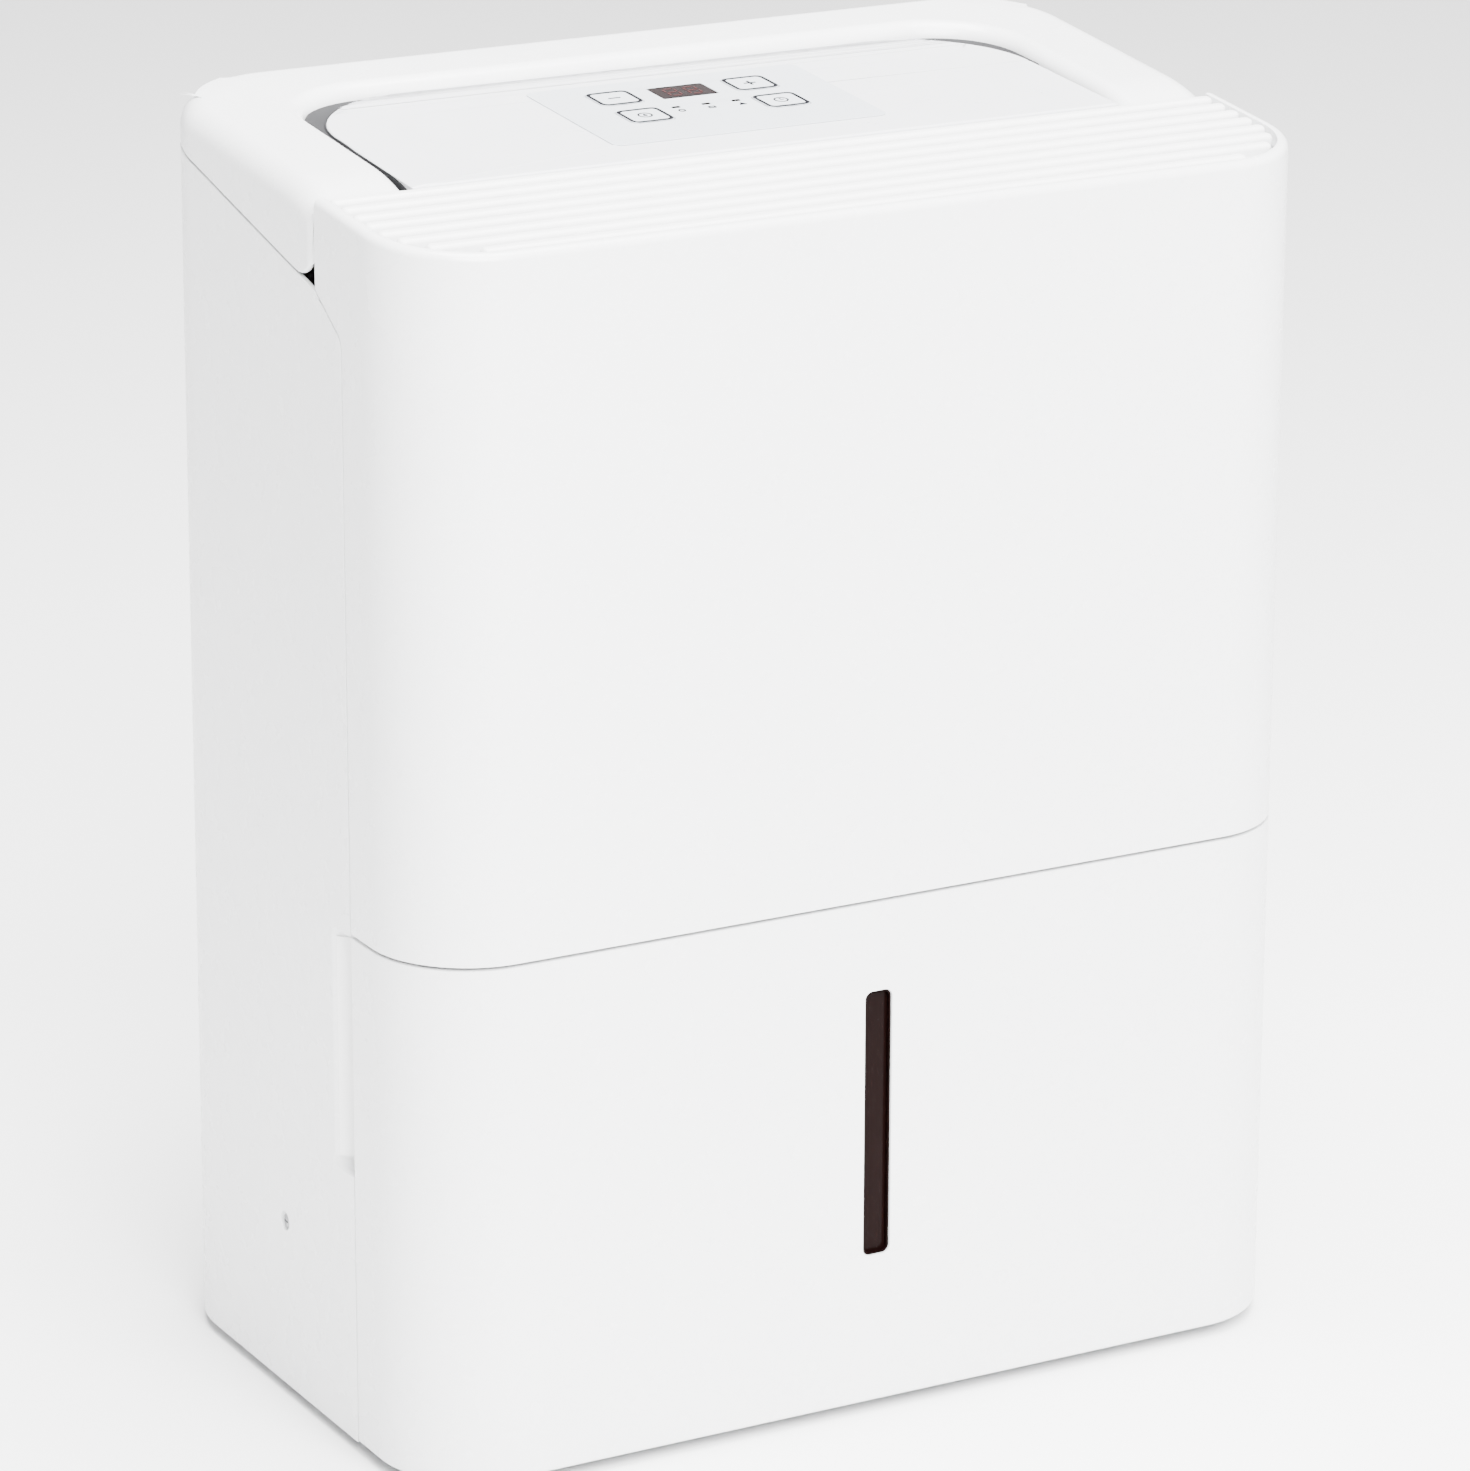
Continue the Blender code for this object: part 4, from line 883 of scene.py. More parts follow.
def build_float(settings):
    x, y, z = FLOAT_X, FLOAT_Y, FLOAT_Z
    arm = block("float_lever", (x - 0.008, y - 0.040, z - 0.0035), (x + 0.008, y + 0.0035, z - 0.0005))
    weld_on(arm, rod("hub", 0.0035, (x - 0.0095, y, z), (x + 0.0095, y, z), 24))
    weld_on(arm, rod("pin", 0.0014, (x - 0.0135, y, z), (x + 0.0135, y, z), 16))
    soften(arm, 0.0003)
    dressed(arm, white_shell(settings), "white_plastic", "float", "float_arm")
    low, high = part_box("float_block")
    foam = block("float_foam", low, high)
    round_off(foam, everything, 0.003, 4)
    soften(foam, 0)
    dressed(foam, white_foam(), "foam", "float", "float_block")


# Top cover


def cheek_side():
    """The cover in side view, with the lower front corner of each cheek rounded."""
    front = CHEEK_FRONT
    return rounded(
        [
            (front, seam_z(front, -SEAM_GAP / 2), 0.0125),
            (0.15, seam_z(0.15, -SEAM_GAP / 2), 0),
            (0.15, 0.54, 0),
            (front, 0.54, 0),
        ],
        10,
    )


def roll_down(form):
    """Bends the front ends of the rim down in a soft curve."""
    start, fall, slices, above = -0.012, 0.0036, 9, 0.463
    reach = start - CHEEK_FRONT
    for step in range(slices):
        cut_at = (0, start - reach * step / slices, 0)
        options = {"plane_co": cut_at, "plane_no": (0, 1, 0)}
        edit(form, "FACE", everything, (bpy.ops.mesh.bisect, options))
    for vert in form.data.vertices:
        if vert.co.y < start and vert.co.z > above:
            vert.co.z -= fall * min(1.2, (start - vert.co.y) / reach) ** 2
    return form


def on_rim_line(edge):
    """Chooses the edges where the rim's top meets the well."""
    return all(
        abs(vert.co.z - RIM - TOP_SLOPE * vert.co.y) < 1e-4
        and abs(vert.co.x) < HALF_W - RIM_EDGE - 0.002
        and vert.co.y < HALF_D - RIM_EDGE - 0.002
        for vert in edge.verts
    )


def build_cover(settings):
    """The U-shaped rim round the deck, hollow below, with a cheek at each side."""
    cover = cabinet_form("cover_rim", 0.40, RIM, edge=RIM_EDGE)
    slope_top(cover)
    keep(cover, block("rear_part", (-0.3, -0.075, 0.3), (0.3, 0.3, 0.6)))
    carve(cover, flat_block("well", [well_outline()], 0.3, 0.6))
    round_off(cover, on_rim_line, WELL_FILLET, 8)
    roll_down(cover)
    keep(cover, flat_block("cheek_side", [cheek_side()], -0.3, 0.3, "X"))
    outline = plan(HALF_W + 0.00001, CHEEK_FRONT, HALF_D + 0.05, 0.005, 0, 8)
    keep(cover, flat_block("cheek_plan", [outline], 0.3, 0.6))
    room = cabinet_form("cover_room", 0.35, RIM - WALL, WALL, RIM_EDGE - WALL)
    slope_top(room)
    carve(room, flat_block("under", [well_outline(-WALL)], 0.3, 0.6))
    roll_down(room)
    carve(room, block("room_front", (-0.2, -0.2, 0.3), (0.2, CHEEK_FRONT + WALL, 0.6)))
    carve(cover, room)
    soften(cover, settings.rim_softness, 3, 40)
    dressed(leaned(cover), white_shell(settings), "white_plastic", "cabinet", "top_cover")


# Control deck


KEYS = {
    "down": (-0.0295, 0.0395),
    "up": (0.0295, 0.0395),
    "mode": (-0.0295, 0.0145),
    "timer": (0.0295, 0.0145),
}
KEY_SIZE = (0.0185, 0.0175)
KEY_TOP = 0.0006
KEY_LINE = 0.0014
PRINT_ON_KEY = (0.0005, 0.00068)
DISPLAY_AT = (0, 0.0395)
DISPLAY_SIZE = (0.0235, 0.0148)
LAMP_X = (-0.013, 0.0, 0.013)
LAMP_Y = 0.0205
LAMP_SIZE = (0.0032, 0.0014)
FILM_AT = (0, 0.0205)
FILM_SIZE = (0.118, 0.076)
PIECE_GAP = 0.0003


def on_deck(piece):
    return tilted(piece, DECK, DECK_SLOPE)


def grown(size):
    """A window's size, with a gap all round the piece that it holds."""
    return (size[0] + 2 * PIECE_GAP, size[1] + 2 * PIECE_GAP)


def deck_windows():
    """Outlines of the openings for the keys, the display and the lamps."""
    outlines = [rounded_box(centre, grown(KEY_SIZE), 0.003 + PIECE_GAP) for centre in KEYS.values()]
    outlines.append(rounded_box(DISPLAY_AT, grown(DISPLAY_SIZE), 0.0008))
    outlines += [rounded_box((x, LAMP_Y), grown(LAMP_SIZE), 0.0004) for x in LAMP_X]
    return outlines


def deck_outline(inset=0.0):
    """The deck in plan. Its back corners leave a crescent open in the well's corners."""
    front, back = CHEEK_FRONT + 0.0006 + inset, WELL_BACK - 0.0022 - inset
    return plan(DECK_HALF_W - inset, front, back, 0, DECK_RADIUS - inset, 24)


def build_deck(settings):
    """The sunk plate with its openings, the dark groove round it and the film over it."""
    plate = flat_block("deck_plate", [deck_outline()], -0.0155, 0)
    round_off(plate, level_at(0), 0.0012, 4)
    carve(plate, flat_block("deck_room", [deck_outline(WALL)], -0.05, -WALL))
    for outline in deck_windows():
        carve(plate, flat_block("window", [outline], -0.02, 0.02))
    soften(plate, 0.0003)
    dressed(on_deck(plate), deck_shell(settings), "deck_plastic", "cabinet", "control_deck")
    build_groove_shade()
    outlines = [rounded_box(FILM_AT, FILM_SIZE, 0.004)] + deck_windows()
    sheet = flat_block("deck_film", outlines, 0.0001, 0.0004)
    soften(sheet, 0.0001, 1)
    dressed(on_deck(sheet), key_film(settings), "film", "cabinet", "control_overlay")


def build_groove_shade():
    """The dark lining of the groove: skirt, floor and wall, with a raised floor in the back corners."""
    top, low, wall_top = -0.0038, -0.0190, -0.0073
    thickness = 0.0006
    edge = deck_outline(0.0001)
    well = well_outline(0.0003, CHEEK_FRONT + 0.0003)
    wall_face = well_outline(0.0006, CHEEK_FRONT + 0.0006)
    # The skirt on the deck's flank, the floor and the wall are painted shade, black where the gap only
    # lies in shadow.
    skirt = flat_block("groove_painted_shade", [deck_outline(-0.0003), edge], low, top)
    weld_on(skirt, flat_block("groove_floor_shade", [well, edge], low, low + thickness))
    wall = flat_block("groove_wall_shade", [well, wall_face], low, wall_top)
    lining = roll_down(tilted(join("groove_painted_shade", [skirt, wall]), RIM, TOP_SLOPE))
    # Painted shade: a raised black floor in the back corners stands in for the shaded crescent between
    # the deck and the well.
    corners = flat_block("corner_painted_shade", [well, edge], -0.0024, -0.0012)
    carve(corners, block("middle", (-0.105, -0.2, -0.1), (0.105, 0.2, 0.1)))
    carve(corners, block("ahead", (-0.2, -0.2, -0.1), (0.2, 0.028, 0.1)))
    lining = join("groove_painted_shade", [lining, on_deck(corners)])
    keep(lining, on_deck(block("under_deck", (-0.2, -0.2, -0.1), (0.2, 0.2, -0.0004))))
    soften(lining, 0)
    dressed(lining, painted_shade_black(), "deck_plastic", "cabinet")


def build_keys(settings):
    size = (KEY_SIZE[0] - 0.0006, KEY_SIZE[1] - 0.0006)
    inner = (size[0] - 2 * KEY_LINE, size[1] - 2 * KEY_LINE)
    for key, centre in KEYS.items():
        cap = flat_block(f"{key}_cap", [rounded_box(centre, KEY_SIZE, 0.003)], -0.004, KEY_TOP)
        round_off(cap, level_at(KEY_TOP), 0.0003, 2)
        soften(cap, 0)
        dressed(on_deck(cap), key_film(settings), "film", f"{key}_key", f"key_{key}")
        loops = [rounded_box(centre, size, 0.0028), rounded_box(centre, inner, 0.0020)]
        ring = flat_block(f"{key}_outline", loops, *PRINT_ON_KEY)
        dressed(on_deck(ring), printed_ink(), "film", f"{key}_key")
        sign = join(f"{key}_sign", key_sign(key, centre))
        dressed(on_deck(sign), printed_ink(), "film", f"{key}_key")


def key_sign(key, centre):
    """A plain sign for each key: a minus, a plus, a drop in a ring and a clock face."""
    x, y = centre

    def bar(u, v, size):
        return flat_block("bar", [rounded_box((x + u, y + v), size, 0.0002, 3)], *PRINT_ON_KEY)

    if key == "down":
        return [bar(0, 0, (0.0052, 0.0010))]
    if key == "up":
        return [bar(0, 0, (0.0052, 0.0010)), bar(0, 0, (0.0010, 0.0052))]
    circle = [circle_points(centre, 0.0030), circle_points(centre, 0.0023)]
    ring = flat_block("ring", circle, *PRINT_ON_KEY)
    if key == "timer":
        return [ring, bar(0, 0.0008, (0.0006, 0.0018)), bar(0.0006, 0, (0.0014, 0.0006))]
    right = [(0.0009, -0.0001), (0.0006, -0.0010)]
    drop = [(0, 0.0016), *right, *mirrored(right)]
    return [ring, flat_block("drop", [[(x + u, y + v) for u, v in drop]], *PRINT_ON_KEY)]


def circle_points(centre, radius, steps=32):
    x, y = centre
    turns = [2 * math.pi * step / steps for step in range(steps)]
    return [(x + radius * math.cos(turn), y + radius * math.sin(turn)) for turn in turns]


def build_display(_settings):
    pane = flat_block("display_pane", [rounded_box(DISPLAY_AT, DISPLAY_SIZE, 0.0008)], -0.0035, 0.0004)
    round_off(pane, level_at(0.0004), 0.0002, 2)
    soften(pane, 0)
    dressed(on_deck(pane), display_glass(), "smoked_lens", "cabinet", "display_window")
    digits = join("display_segments", [segment for x in (-0.0044, 0.0044) for segment in digit(x)])
    dressed(on_deck(digits), faint_ink(), "smoked_lens", "cabinet")
    for index, x in enumerate(LAMP_X, 1):
        outline = rounded_box((x, LAMP_Y), LAMP_SIZE, 0.0004)
        lens = flat_block(f"lamp_{index}", [outline], -0.0035, 0.0006)
        soften(lens, 0.0001)
        dressed(on_deck(lens), smoked_glass(), "lamp_lens", "cabinet", f"led_{index}")
        mark = flat_block(f"lamp_mark_{index}", lamp_mark(index, x), 0.0004, 0.00058)
        dressed(on_deck(mark), printed_ink(), "film", "cabinet")


def digit(x):
    """Seven unlit bars of one display digit."""
    y = DISPLAY_AT[1]
    width, height, line = 0.0048, 0.0088, 0.0007
    low, high = 0.0003, 0.00048
    flat, tall = (width - 2 * line, line), (line, height / 2 - 2 * line)
    spots = [((x, y + side * height / 2), flat) for side in (-1, 0, 1)]
    for side in (-1, 1):
        spots += [((x + side * width / 2, y + row * height / 4), tall) for row in (-1, 1)]
    return [flat_block("bar", [rounded_box(*spot, 0.0002, 3)], low, high) for spot in spots]


def lamp_mark(index, x):
    """The mark in front of a lamp: a ring, a frame or a triangle."""
    y = LAMP_Y - 0.0050
    centre = (x, y)
    if index == 1:
        return [circle_points(centre, 0.0015, 20), circle_points(centre, 0.0010, 20)]
    if index == 2:
        outer = rounded_box(centre, (0.0030, 0.0022), 0.0003, 3)
        return [outer, rounded_box(centre, (0.0020, 0.0012), 0.0002, 3)]
    return [[(x - 0.0016, y - 0.0012), (x + 0.0016, y - 0.0012), (x, y + 0.0015)]]


# Outlet grille


RIBS = 8
RIB_PITCH = 0.0096
FIRST_RIB = -0.0425
RIB_WIDTH = 0.0054
VENT_HALF_W = 0.1175
WEB_X = (-0.1175, -0.0705, -0.0235, 0.0235, 0.0705, 0.1175)
GROOVE = 0.0060
GRILLE_DEPTH = 0.014


def on_panel(piece):
    return tilted(piece, PANEL - 0.0002, TOP_SLOPE)


def corner_reach(y, border):
    """Half the grille's width at a depth, inside its rounded front corners."""
    into = max(0.0, -y - (HALF_D - FRONT_RADIUS))
    inner = FRONT_RADIUS - border
    return HALF_W - FRONT_RADIUS + math.sqrt(max(0.0, inner**2 - min(into, inner) ** 2))


def build_outlet(settings):
    """Ribs across the panel's top, over a floor that is open in the middle."""
    ribs = []
    for index in range(RIBS):
        y = FIRST_RIB - RIB_PITCH * index
        reach = corner_reach(y - RIB_WIDTH / 2, LIP + 0.0003)
        low = (-reach, y - RIB_WIDTH / 2, -GROOVE - 0.0005)
        rib = block("rib", low, (reach, y + RIB_WIDTH / 2, 0.0002))
        round_off(rib, upright, 0.0024, 5)
        round_off(rib, level_at(0.0002), 0.0018, 6)
        ribs.append(rib)
    ribs = soften(join("outlet_ribs", ribs), 0)
    dressed(on_panel(ribs), slat_white(settings), "white_plastic", "cabinet", "outlet_grille")
    inset = LIP + 0.0002
    front, back = -(HALF_D - inset), CHEEK_FRONT - 0.0016
    outline = plan(HALF_W - inset, front, back, FRONT_RADIUS - inset, 0, 20)
    floor = flat_block("outlet_floor", [outline], -GROOVE - 0.0025, -GROOVE)
    last = FIRST_RIB - RIB_PITCH * (RIBS - 1) + RIB_WIDTH / 2
    vent = plan(VENT_HALF_W, last, FIRST_RIB, 0, 0, 0)
    carve(floor, flat_block("vent", [vent], -0.05, 0.05))
    soften(floor, 0.0003)
    dressed(on_panel(floor), deck_shell(settings), "white_plastic", "cabinet")
    build_louvres(settings, last)


def build_louvres(settings, last):
    """Tilted blades under the gaps between the ribs, crossed by six webs."""
    blades = []
    for index in range(RIBS - 1):
        y = FIRST_RIB - RIB_PITCH * index - RIB_WIDTH / 2
        blade = block("blade", (-VENT_HALF_W, -0.0088, -0.0013), (VENT_HALF_W, 0, 0))
        turn = Matrix.Translation((0, y + 0.0004, -0.0030)) @ Matrix.Rotation(math.radians(38), 4, "X")
        blade.data.transform(turn)
        blades.append(blade)
    blades = soften(join("outlet_blades", blades), 0.0003)
    dressed(on_panel(blades), slat_white(settings), "white_plastic", "cabinet")
    webs = []
    for x in WEB_X:
        webs.append(block("web", (x - 0.0016, last, -GRILLE_DEPTH), (x + 0.0016, FIRST_RIB, -0.0032)))
    webs = soften(join("outlet_webs", webs), 0.0004)
    dressed(on_panel(webs), slat_white(settings), "white_plastic", "cabinet")


# Rear intake


INTAKE_WINDOWS = ((-0.118, -0.041), (-0.0385, 0.0385), (0.041, 0.118))
INTAKE_ROWS = 21
SLAT_HALF_W = 0.1182
SLAT_HALF_H = 0.0017
PULL_RADIUS = 0.022


def build_intake(settings):
    low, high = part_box("intake_grille")
    plate = block("intake_frame", low, high)
    round_off(plate, along("y"), 0.0025, 6)
    border = 0.0155
    for left, right in INTAKE_WINDOWS:
        window = block("window", (left, 0.10, low.z + border), (right, 0.13, high.z - border))
        carve(plate, round_off(window, along("y"), 0.002, 4))
    carve(plate, rod("pull", PULL_RADIUS, (0, 0.10, high.z + 0.013), (0, 0.13, high.z + 0.013), 64))
    soften(plate, settings.edge_softness)
    dressed(leaned(plate), white_shell(settings), "white_plastic", "intake", "intake_grille")
    pitch = (high.z - low.z - 2 * border) / INTAKE_ROWS
    slat_low = (-SLAT_HALF_W, low.y + 0.0004, -SLAT_HALF_H)
    slat = block("slat", slat_low, (SLAT_HALF_W, high.y - 0.0003, SLAT_HALF_H))
    round_off(slat, lambda e: along("x")(e) and e.verts[0].co.y > high.y - 0.001, 0.0014, 4)
    slats = []
    for row in range(INTAKE_ROWS - 1):
        z = low.z + border + pitch * (row + 1)
        slats.append(copy_at(slat, "slat", Matrix.Translation((0, 0, z))))
    bpy.data.objects.remove(slat)
    slats = soften(join("intake_slats", slats), 0)
    dressed(leaned(slats), white_shell(settings), "white_plastic", "intake")
    build_filter()


def build_filter():
    low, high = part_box("filter_frame")
    edge = 0.005
    rim = block("filter_rim", low, high)
    hole = ((low.x + edge, 0, low.z + edge), (high.x - edge, 0.2, high.z - edge))
    carve(rim, block("hole", *hole))
    for x in (-0.040, 0.040):
        start, end = (x - 0.0015, low.y + 0.0022, low.z + 0.001), (x + 0.0015, high.y, high.z - 0.001)
        weld_on(rim, block("bar", start, end))
    soften(rim, 0.0004)
    dressed(leaned(rim), inner_grey(), "inner_plastic", "intake", "filter_frame")
    low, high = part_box("filter_mesh")
    net = block("filter_net", low, (high.x, low.y + 0.0008, high.z))
    soften(net, 0)
    dressed(leaned(net), woven_net(), "net", "intake", "filter_mesh")


# Small fittings


def build_fittings(_settings):
    x, z = drain_centre()
    low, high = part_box("drain_cap")
    length = high.y - low.y
    profile = [
        (0, length),
        (0.0088, length),
        (0.0096, length - 0.0010),
        (0.0097, 0.0030),
        (0.0100, 0.0022),
        (0.0100, 0.0),
        (0.0073, 0.0),
        (0.0073, length - 0.0027),
        (0, length - 0.0027),
    ]
    cap = lathe("drain_plug_cap", profile, (x, low.y, z), "Y")
    for u, v in circle_points((x, z), 0.0102, 24):
        start, end = (u, low.y + 0.0035, v), (u, high.y + 0.001, v)
        carve(cap, rod("grip", 0.0006, start, end, 8))
    soften(cap, 0.0002)
    dressed(leaned(cap), black_rubber(), "rubber", "drain_plug", "drain_cap")
    low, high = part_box("drain_spout")
    profile = [(0.0068, high.y - low.y), (0.0068, 0), (0.0048, 0), (0.0048, high.y - low.y)]
    spout = soften(lathe("drain_pipe", profile, (x, low.y, z), "Y"), 0.0003)
    dressed(leaned(spout), inner_grey(), "inner_plastic", "cabinet", "drain_spout")
    build_gland()
    for index in range(1, 5):
        middle, top = middle_of(f"foot_{index}"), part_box(f"foot_{index}")[1].z
        place = (middle.x, middle.y, 0)
        outside = [(0, top), (0.0115, top), (0.0115, 0.0012), (0.0108, 0.0003), (0.0100, 0)]
        profile = [*outside, (0.0070, 0), (0.0064, 0.0006), (0, 0.0006)]
        foot = soften(lathe(f"rubber_foot_{index}", profile, place), 0.0002)
        dressed(foot, black_rubber(), "rubber", "cabinet", f"foot_{index}")
    build_screws()


def build_gland():
    x, _, z = middle_of("cord_gland")
    profile = [
        (0.0036, -0.0002),
        (0.0052, -0.0002),
        (0.0061, -0.0008),
        (0.0061, -0.0032),
        (0.0095, -0.0032),
        (0.0095, -0.0055),
        (0.0062, -0.0095),
        (0.0036, -0.0095),
    ]
    gland = soften(lathe("cord_bushing", profile, (x, HALF_D, z), "Y"), 0.0002)
    dressed(leaned(gland), black_rubber(), "rubber", "cabinet", "cord_gland")


def build_screws():
    head = [(0, 0), (0.0016, -0.0001), (0.0026, -0.0005), (0.0030, -0.0011), (0.0030, -0.0014)]
    profile = [*head, (0.0014, -0.0014), (0.0014, -0.0095), (0, -0.0095)]
    for index, (place, into) in enumerate(screw_places(), 1):
        screw = lathe(f"housing_screw_{index}", profile, (0, 0, 0), steps=32)
        for size in ((0.0018, 0.00035), (0.00035, 0.0018)):
            carve(screw, block("drive", (-size[0], -size[1], -0.0009), (size[0], size[1], 0.001)))
        soften(screw, 0.0001)
        turn = (-into).to_track_quat("Z", "Y").to_matrix().to_4x4()
        screw.data.transform(Matrix.Translation(place + into * SCREW_SUNK) @ turn)
        dressed(leaned(screw), dark_screw(), "steel", "cabinet", f"screw_{index}")


# Coils and the parts inside


COIL_HALF_W = 0.125
COIL_ROWS = 8
FIN_HALF = 0.00012
TUBE_RADIUS = 0.0035


def build_coil(settings, name):
    """A heat exchanger: thin fins on rows of tube, between two end plates."""
    low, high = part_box(name)
    width, y = COIL_HALF_W, (low.y + high.y) / 2
    half = (high.y - low.y) / 2
    fin_low = (-FIN_HALF, low.y + 0.0004, low.z + 0.0006)
    fin = block("fin", fin_low, (FIN_HALF, high.y - 0.0004, high.z - 0.0006))
    count = settings.fin_count
    fins = []
    for index in range(1, count):
        x = -width + 2 * width * index / count
        fins.append(copy_at(fin, "fin", Matrix.Translation((x, 0, 0))))
    bpy.data.objects.remove(fin)
    fins = join(f"{name}_fins", fins)
    dressed(fins, fin_metal(), "aluminium", "cabinet", name)
    plates = []
    for side in (-1, 1):
        x = side * width
        plates.append(block("plate", (x - 0.0006, y - half, low.z), (x + 0.0006, y + half, high.z)))
    plates = soften(join(f"{name}_plates", plates), 0.0002)
    dressed(plates, bright_steel(), "aluminium", "cabinet")
    row = (high.z - low.z) / COIL_ROWS
    runs = []
    for index in range(COIL_ROWS):
        z = low.z + row * (index + 0.5)
        runs.append(pipe("run", [(-width - 0.002, y, z), (width + 0.002, y, z)], TUBE_RADIUS, 3))
    for side in (-1, 1):
        for index in range(3):
            z = low.z + row * (1.5 + 2 * index + (side > 0))
            start, centre = side * (width + 0.0015), width + 0.004
            arc = [(start, y, z - row / 2)]
            for step in range(9):
                turn = math.pi * step / 8 - math.pi / 2
                u, v = row / 2 * math.cos(turn), row / 2 * math.sin(turn)
                arc.append((side * (centre + u), y, z + v))
            arc.append((start, y, z + row / 2))
            runs.append(pipe("bend", arc, TUBE_RADIUS, 3))
    runs = soften(join(f"{name}_tubes", runs), 0)
    dressed(runs, red_copper(), "copper", "cabinet")


def build_inner_parts(settings):
    """Gives every piece of the frame that stays in view its finish."""
    plastic = "base_pan bulkhead drain_tray scroll_housing fan_wheel humidity_sensor"
    groups = [
        (plastic, inner_grey()),
        ("fan_motor motor_shaft", bright_steel()),
        ("run_capacitor", fin_metal()),
        ("compressor accumulator bucket_switch", black_paint()),
        ("switch_plunger", deck_shell(settings)),
        ("suction_pipe discharge_pipe capillary_pipe accumulator_link", red_copper()),
        ("control_board", board_green()),
        ("compressor_grommet_1 compressor_grommet_2 compressor_grommet_3", black_rubber()),
    ]
    for nodes, look in groups:
        for node in nodes.split():
            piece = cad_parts[node]
            piece.data.materials.clear()
            piece.data.materials.append(look)


# Stage


CAMERA_AT = (-1.169, -2.127, 1.0205)
CAMERA_YAW, CAMERA_PITCH, CAMERA_ROLL = 28.84, 17.80, 0.18


def build_stage(settings):
    deselect()
    bpy.ops.mesh.primitive_plane_add(size=settings.floor_size)
    floor = named("studio_floor")
    floor.data.materials.append(studio_paper(settings))
    world = bpy.data.worlds.new("studio_air")
    world.use_nodes = True
    backdrop = world.node_tree.nodes["Background"]
    backdrop.inputs["Color"].default_value = (1, 1, 1, 1)
    shade_air(world.node_tree, backdrop, settings.air_strength)
    bpy.context.scene.world = world
    middle = (0, 0, 0.25)
    area_light("key_softbox", (-0.35, -2.3, 2.2), middle, 2.0, settings.key_power)
    area_light("top_softbox", (0.1, -0.2, 2.6), (0, 0, 0.4), 1.6, settings.top_power)
    area_light("left_softbox", (-2.4, -0.4, 1.2), middle, 1.4, settings.side_power)
    add_camera(settings)


def shade_air(tree, backdrop, strength):
    """Makes the soft light weaker from the left, so that the side reads darker than the front."""
    place = tree.nodes.new("ShaderNodeTexCoord")
    split = tree.nodes.new("ShaderNodeSeparateXYZ")
    fade = tree.nodes.new("ShaderNodeMapRange")
    dim, bright = 0.15 * strength, 1.25 * strength
    set_inputs(fade, {"From Min": -1.0, "To Min": dim, "To Max": bright})
    tree.links.new(place.outputs["Generated"], split.inputs[0])
    tree.links.new(split.outputs["X"], fade.inputs["Value"])
    tree.links.new(fade.outputs[0], backdrop.inputs["Strength"])


def area_light(name, place, target, size, power):
    deselect()
    bpy.ops.object.light_add(type="AREA", location=place)
    lamp = bpy.context.object
    lamp.name = name
    lamp.data.name = name
    lamp.data.energy = power
    lamp.data.size = size
    aim = Vector(target) - Vector(place)
    lamp.rotation_euler = aim.to_track_quat("-Z", "Y").to_euler()


def add_camera(settings):
    deselect()
    bpy.ops.object.camera_add(location=CAMERA_AT)
    camera = bpy.context.object
    camera.name = "studio_camera"
    camera.data.lens = settings.lens
    camera.data.sensor_width = 36.0
    turn = Matrix.Rotation(math.radians(-CAMERA_YAW), 3, "Z")
    tip = Matrix.Rotation(math.radians(90 - CAMERA_PITCH), 3, "X")
    roll = Matrix.Rotation(math.radians(CAMERA_ROLL), 3, "Z")
    camera.rotation_euler = (turn @ tip @ roll).to_euler()
    bpy.context.scene.camera = camera


# Settings, operators and panel


def colour_setting(name, description, default):
    options = {"subtype": "COLOR", "size": 3, "min": 0.0, "max": 1.0}
    return FloatVectorProperty(name=name, description=description, default=default, **options)


def length_setting(name, description, default):
    options = {"unit": "LENGTH", "subtype": "DISTANCE", "min": 0.0}
    return FloatProperty(name=name, description=description, default=default, **options)


def number_setting(name, description, default, **options):
    return FloatProperty(name=name, description=description, default=default, min=0.0, **options)


class DehumidifierSettings(bpy.types.PropertyGroup):
    """Sizes and colours of the dehumidifier's finished pieces"""

    shell_colour: colour_setting("Shell", "Colour of the cabinet's white shells", (0.80, 0.805, 0.81))
    deck_colour: colour_setting("Deck", "Colour of the control deck", (0.66, 0.665, 0.685))
    slat_colour: colour_setting("Slats", "Colour of the outlet's ribs and blades", (0.86, 0.86, 0.86))
    film_colour: colour_setting("Film", "Colour of the film over the keys", (0.545, 0.57, 0.60))
    edge_softness: length_setting("Edge Softness", "Radius of the shells' moulded edges", 0.0006)
    rim_softness: length_setting("Rim Softness", "Radius of the top cover's edges", 0.0012)
    fin_count: IntProperty(name="Fins", description="Fins along each coil", default=84, min=20, max=160)


class StageSettings(bpy.types.PropertyGroup):
    """Floor, light and camera of the studio"""

    floor_colour: colour_setting("Floor", "Colour of the floor", (0.97, 0.97, 0.97))
    floor_size: length_setting("Floor Size", "Width of the floor", 40.0)
    lens: number_setting("Lens", "Focal length in millimetres", 159.74)
    air_strength: number_setting("Air", "Strength of the soft light all round", 1.7)
    key_power: number_setting("Key", "Power of the front softbox", 420.0, unit="POWER")
    top_power: number_setting("Top", "Power of the overhead softbox", 260.0, unit="POWER")
    side_power: number_setting("Side", "Power of the left softbox", 1.0, unit="POWER")


STAGE_GROUP = "dehumidifier_stage"


def make_operator(idname, label, text, build, group="dehumidifier"):
    """Makes the operator class that builds one group of pieces."""

    def execute(_self, context):
        build(getattr(context.scene, group))
        return {"FINISHED"}

    members = {
        "__doc__": text,
        "bl_idname": f"dehumidifier.{idname}",
        "bl_label": label,
        "bl_options": {"REGISTER", "UNDO"},
        "execute": execute,
    }
    return type(f"DEHUMIDIFIER_OT_{idname}", (bpy.types.Operator,), members)


def build_coils(settings):
    for name in ("evaporator", "condenser"):
        build_coil(settings, name)


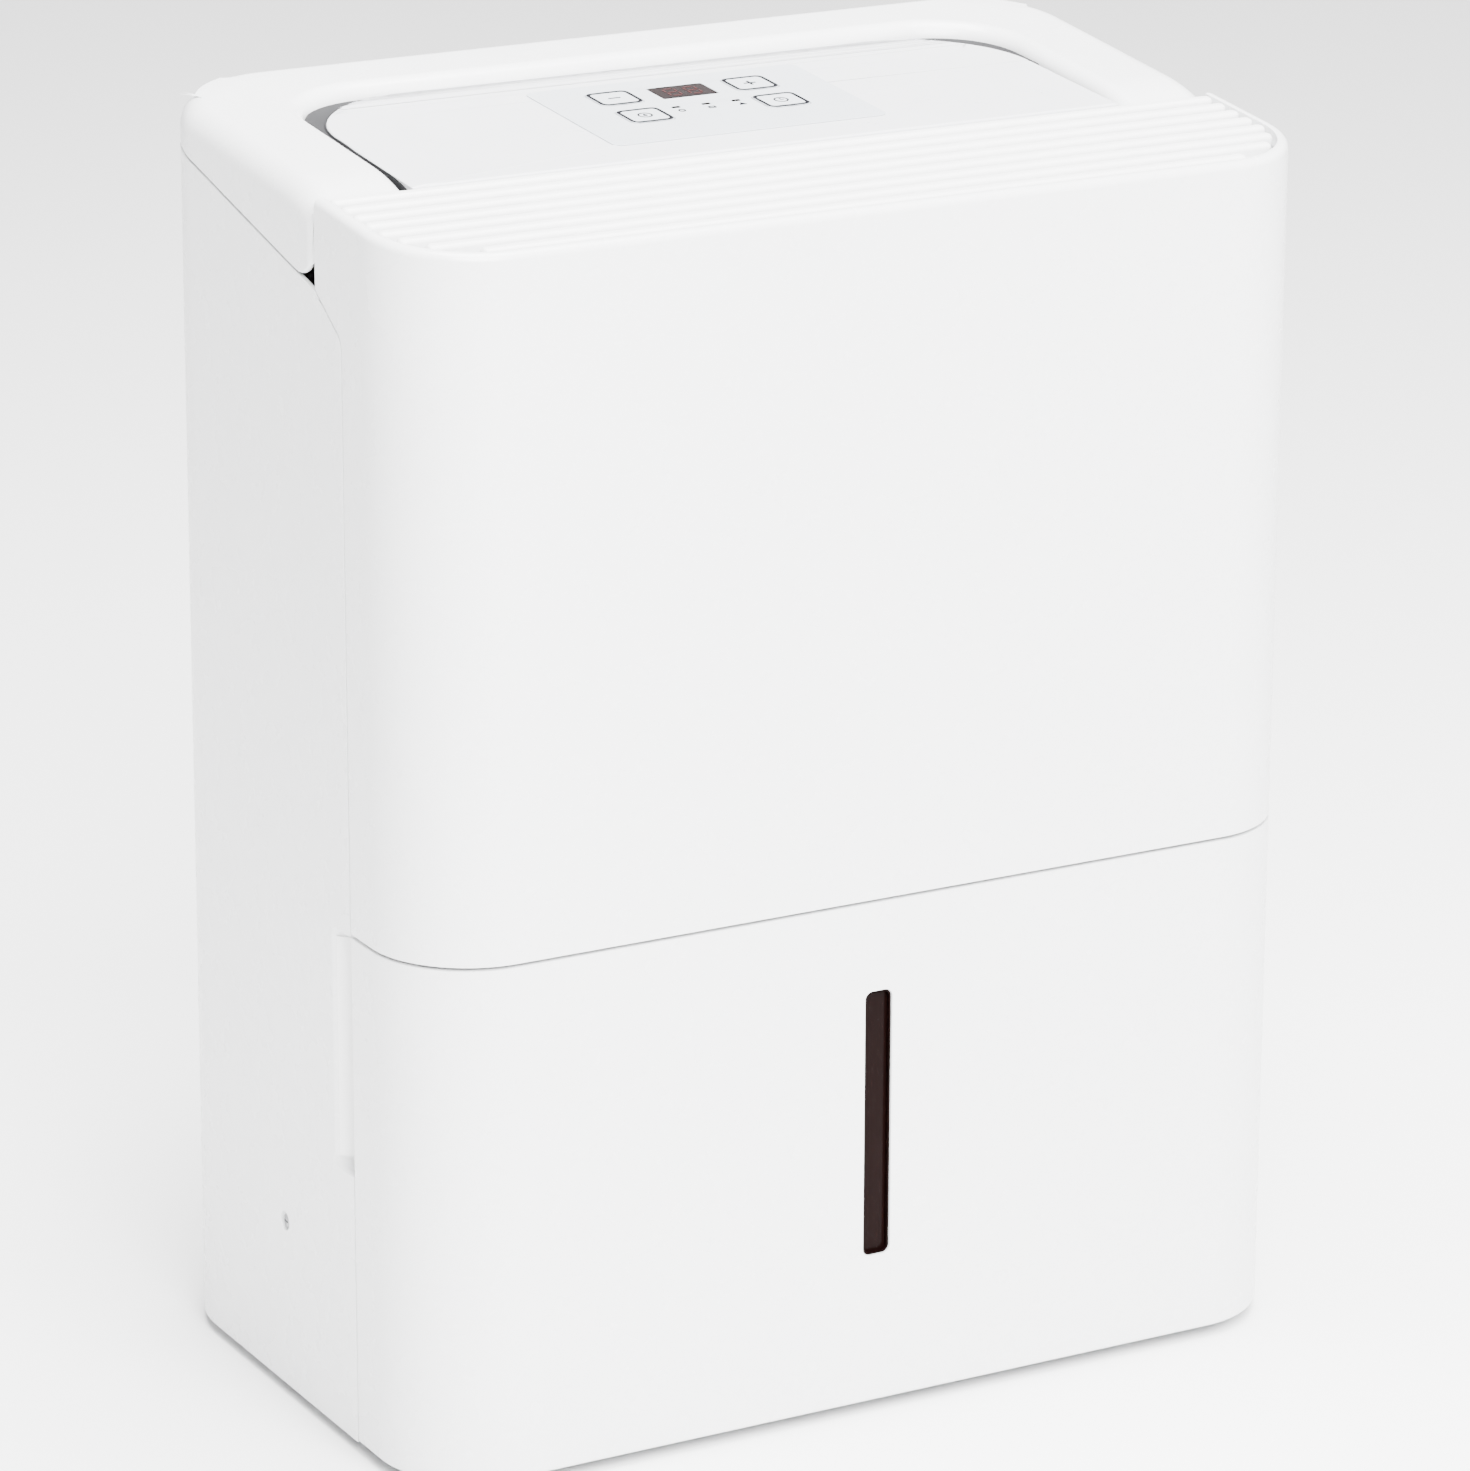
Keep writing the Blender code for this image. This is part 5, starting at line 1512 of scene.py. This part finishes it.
OPERATORS = [
    make_operator("stage", "Studio", "Build the floor, lights and camera", build_stage, STAGE_GROUP),
    make_operator("housing", "Rear Housing", "Build the rear housing and its pockets", build_housing),
    make_operator("front_panel", "Front Panel", "Build the front panel", build_front_panel),
    make_operator("bucket_front", "Bucket Front", "Build the bucket's front", build_bucket_front),
    make_operator("tank", "Tank", "Build the tank, its bail and its float", build_tank),
    make_operator("cover", "Top Cover", "Build the top cover round the control deck", build_cover),
    make_operator("deck", "Control Deck", "Build the deck, its groove and its film", build_deck),
    make_operator("keys", "Keys", "Build the four keys and their signs", build_keys),
    make_operator("display", "Display", "Build the display and the lamps", build_display),
    make_operator("outlet", "Outlet Grille", "Build the outlet's ribs, blades and webs", build_outlet),
    make_operator("intake", "Intake Grille", "Build the rear intake grille and its filter", build_intake),
    make_operator("fittings", "Fittings", "Build the drain, bushing, feet and screws", build_fittings),
    make_operator("coils", "Coils", "Build the two finned coils", build_coils),
    make_operator("inner_parts", "Inner Parts", "Finish the frame's inner parts", build_inner_parts),
]


class DEHUMIDIFIER_PT_pieces(bpy.types.Panel):
    """Lists the settings and the pieces that can be built"""

    bl_label = "Dehumidifier"
    bl_space_type = "VIEW_3D"
    bl_region_type = "UI"
    bl_category = "Dehumidifier"

    def draw(self, context):
        for group in (context.scene.dehumidifier, context.scene.dehumidifier_stage):
            box = self.layout.box()
            for name in group.__annotations__:
                box.prop(group, name)
        for operator in OPERATORS:
            self.layout.operator(operator.bl_idname)


CLASSES = [DehumidifierSettings, StageSettings, *OPERATORS, DEHUMIDIFIER_PT_pieces]


def register():
    for each in CLASSES:
        bpy.utils.register_class(each)
    bpy.types.Scene.dehumidifier = PointerProperty(type=DehumidifierSettings)
    bpy.types.Scene.dehumidifier_stage = PointerProperty(type=StageSettings)


def unregister():
    del bpy.types.Scene.dehumidifier_stage
    del bpy.types.Scene.dehumidifier
    for each in reversed(CLASSES):
        bpy.utils.unregister_class(each)


def main():
    register()
    for operator in OPERATORS:
        name = operator.bl_idname.split(".")[1]
        getattr(bpy.ops.dehumidifier, name)()


if __name__ == "__main__":
    main()
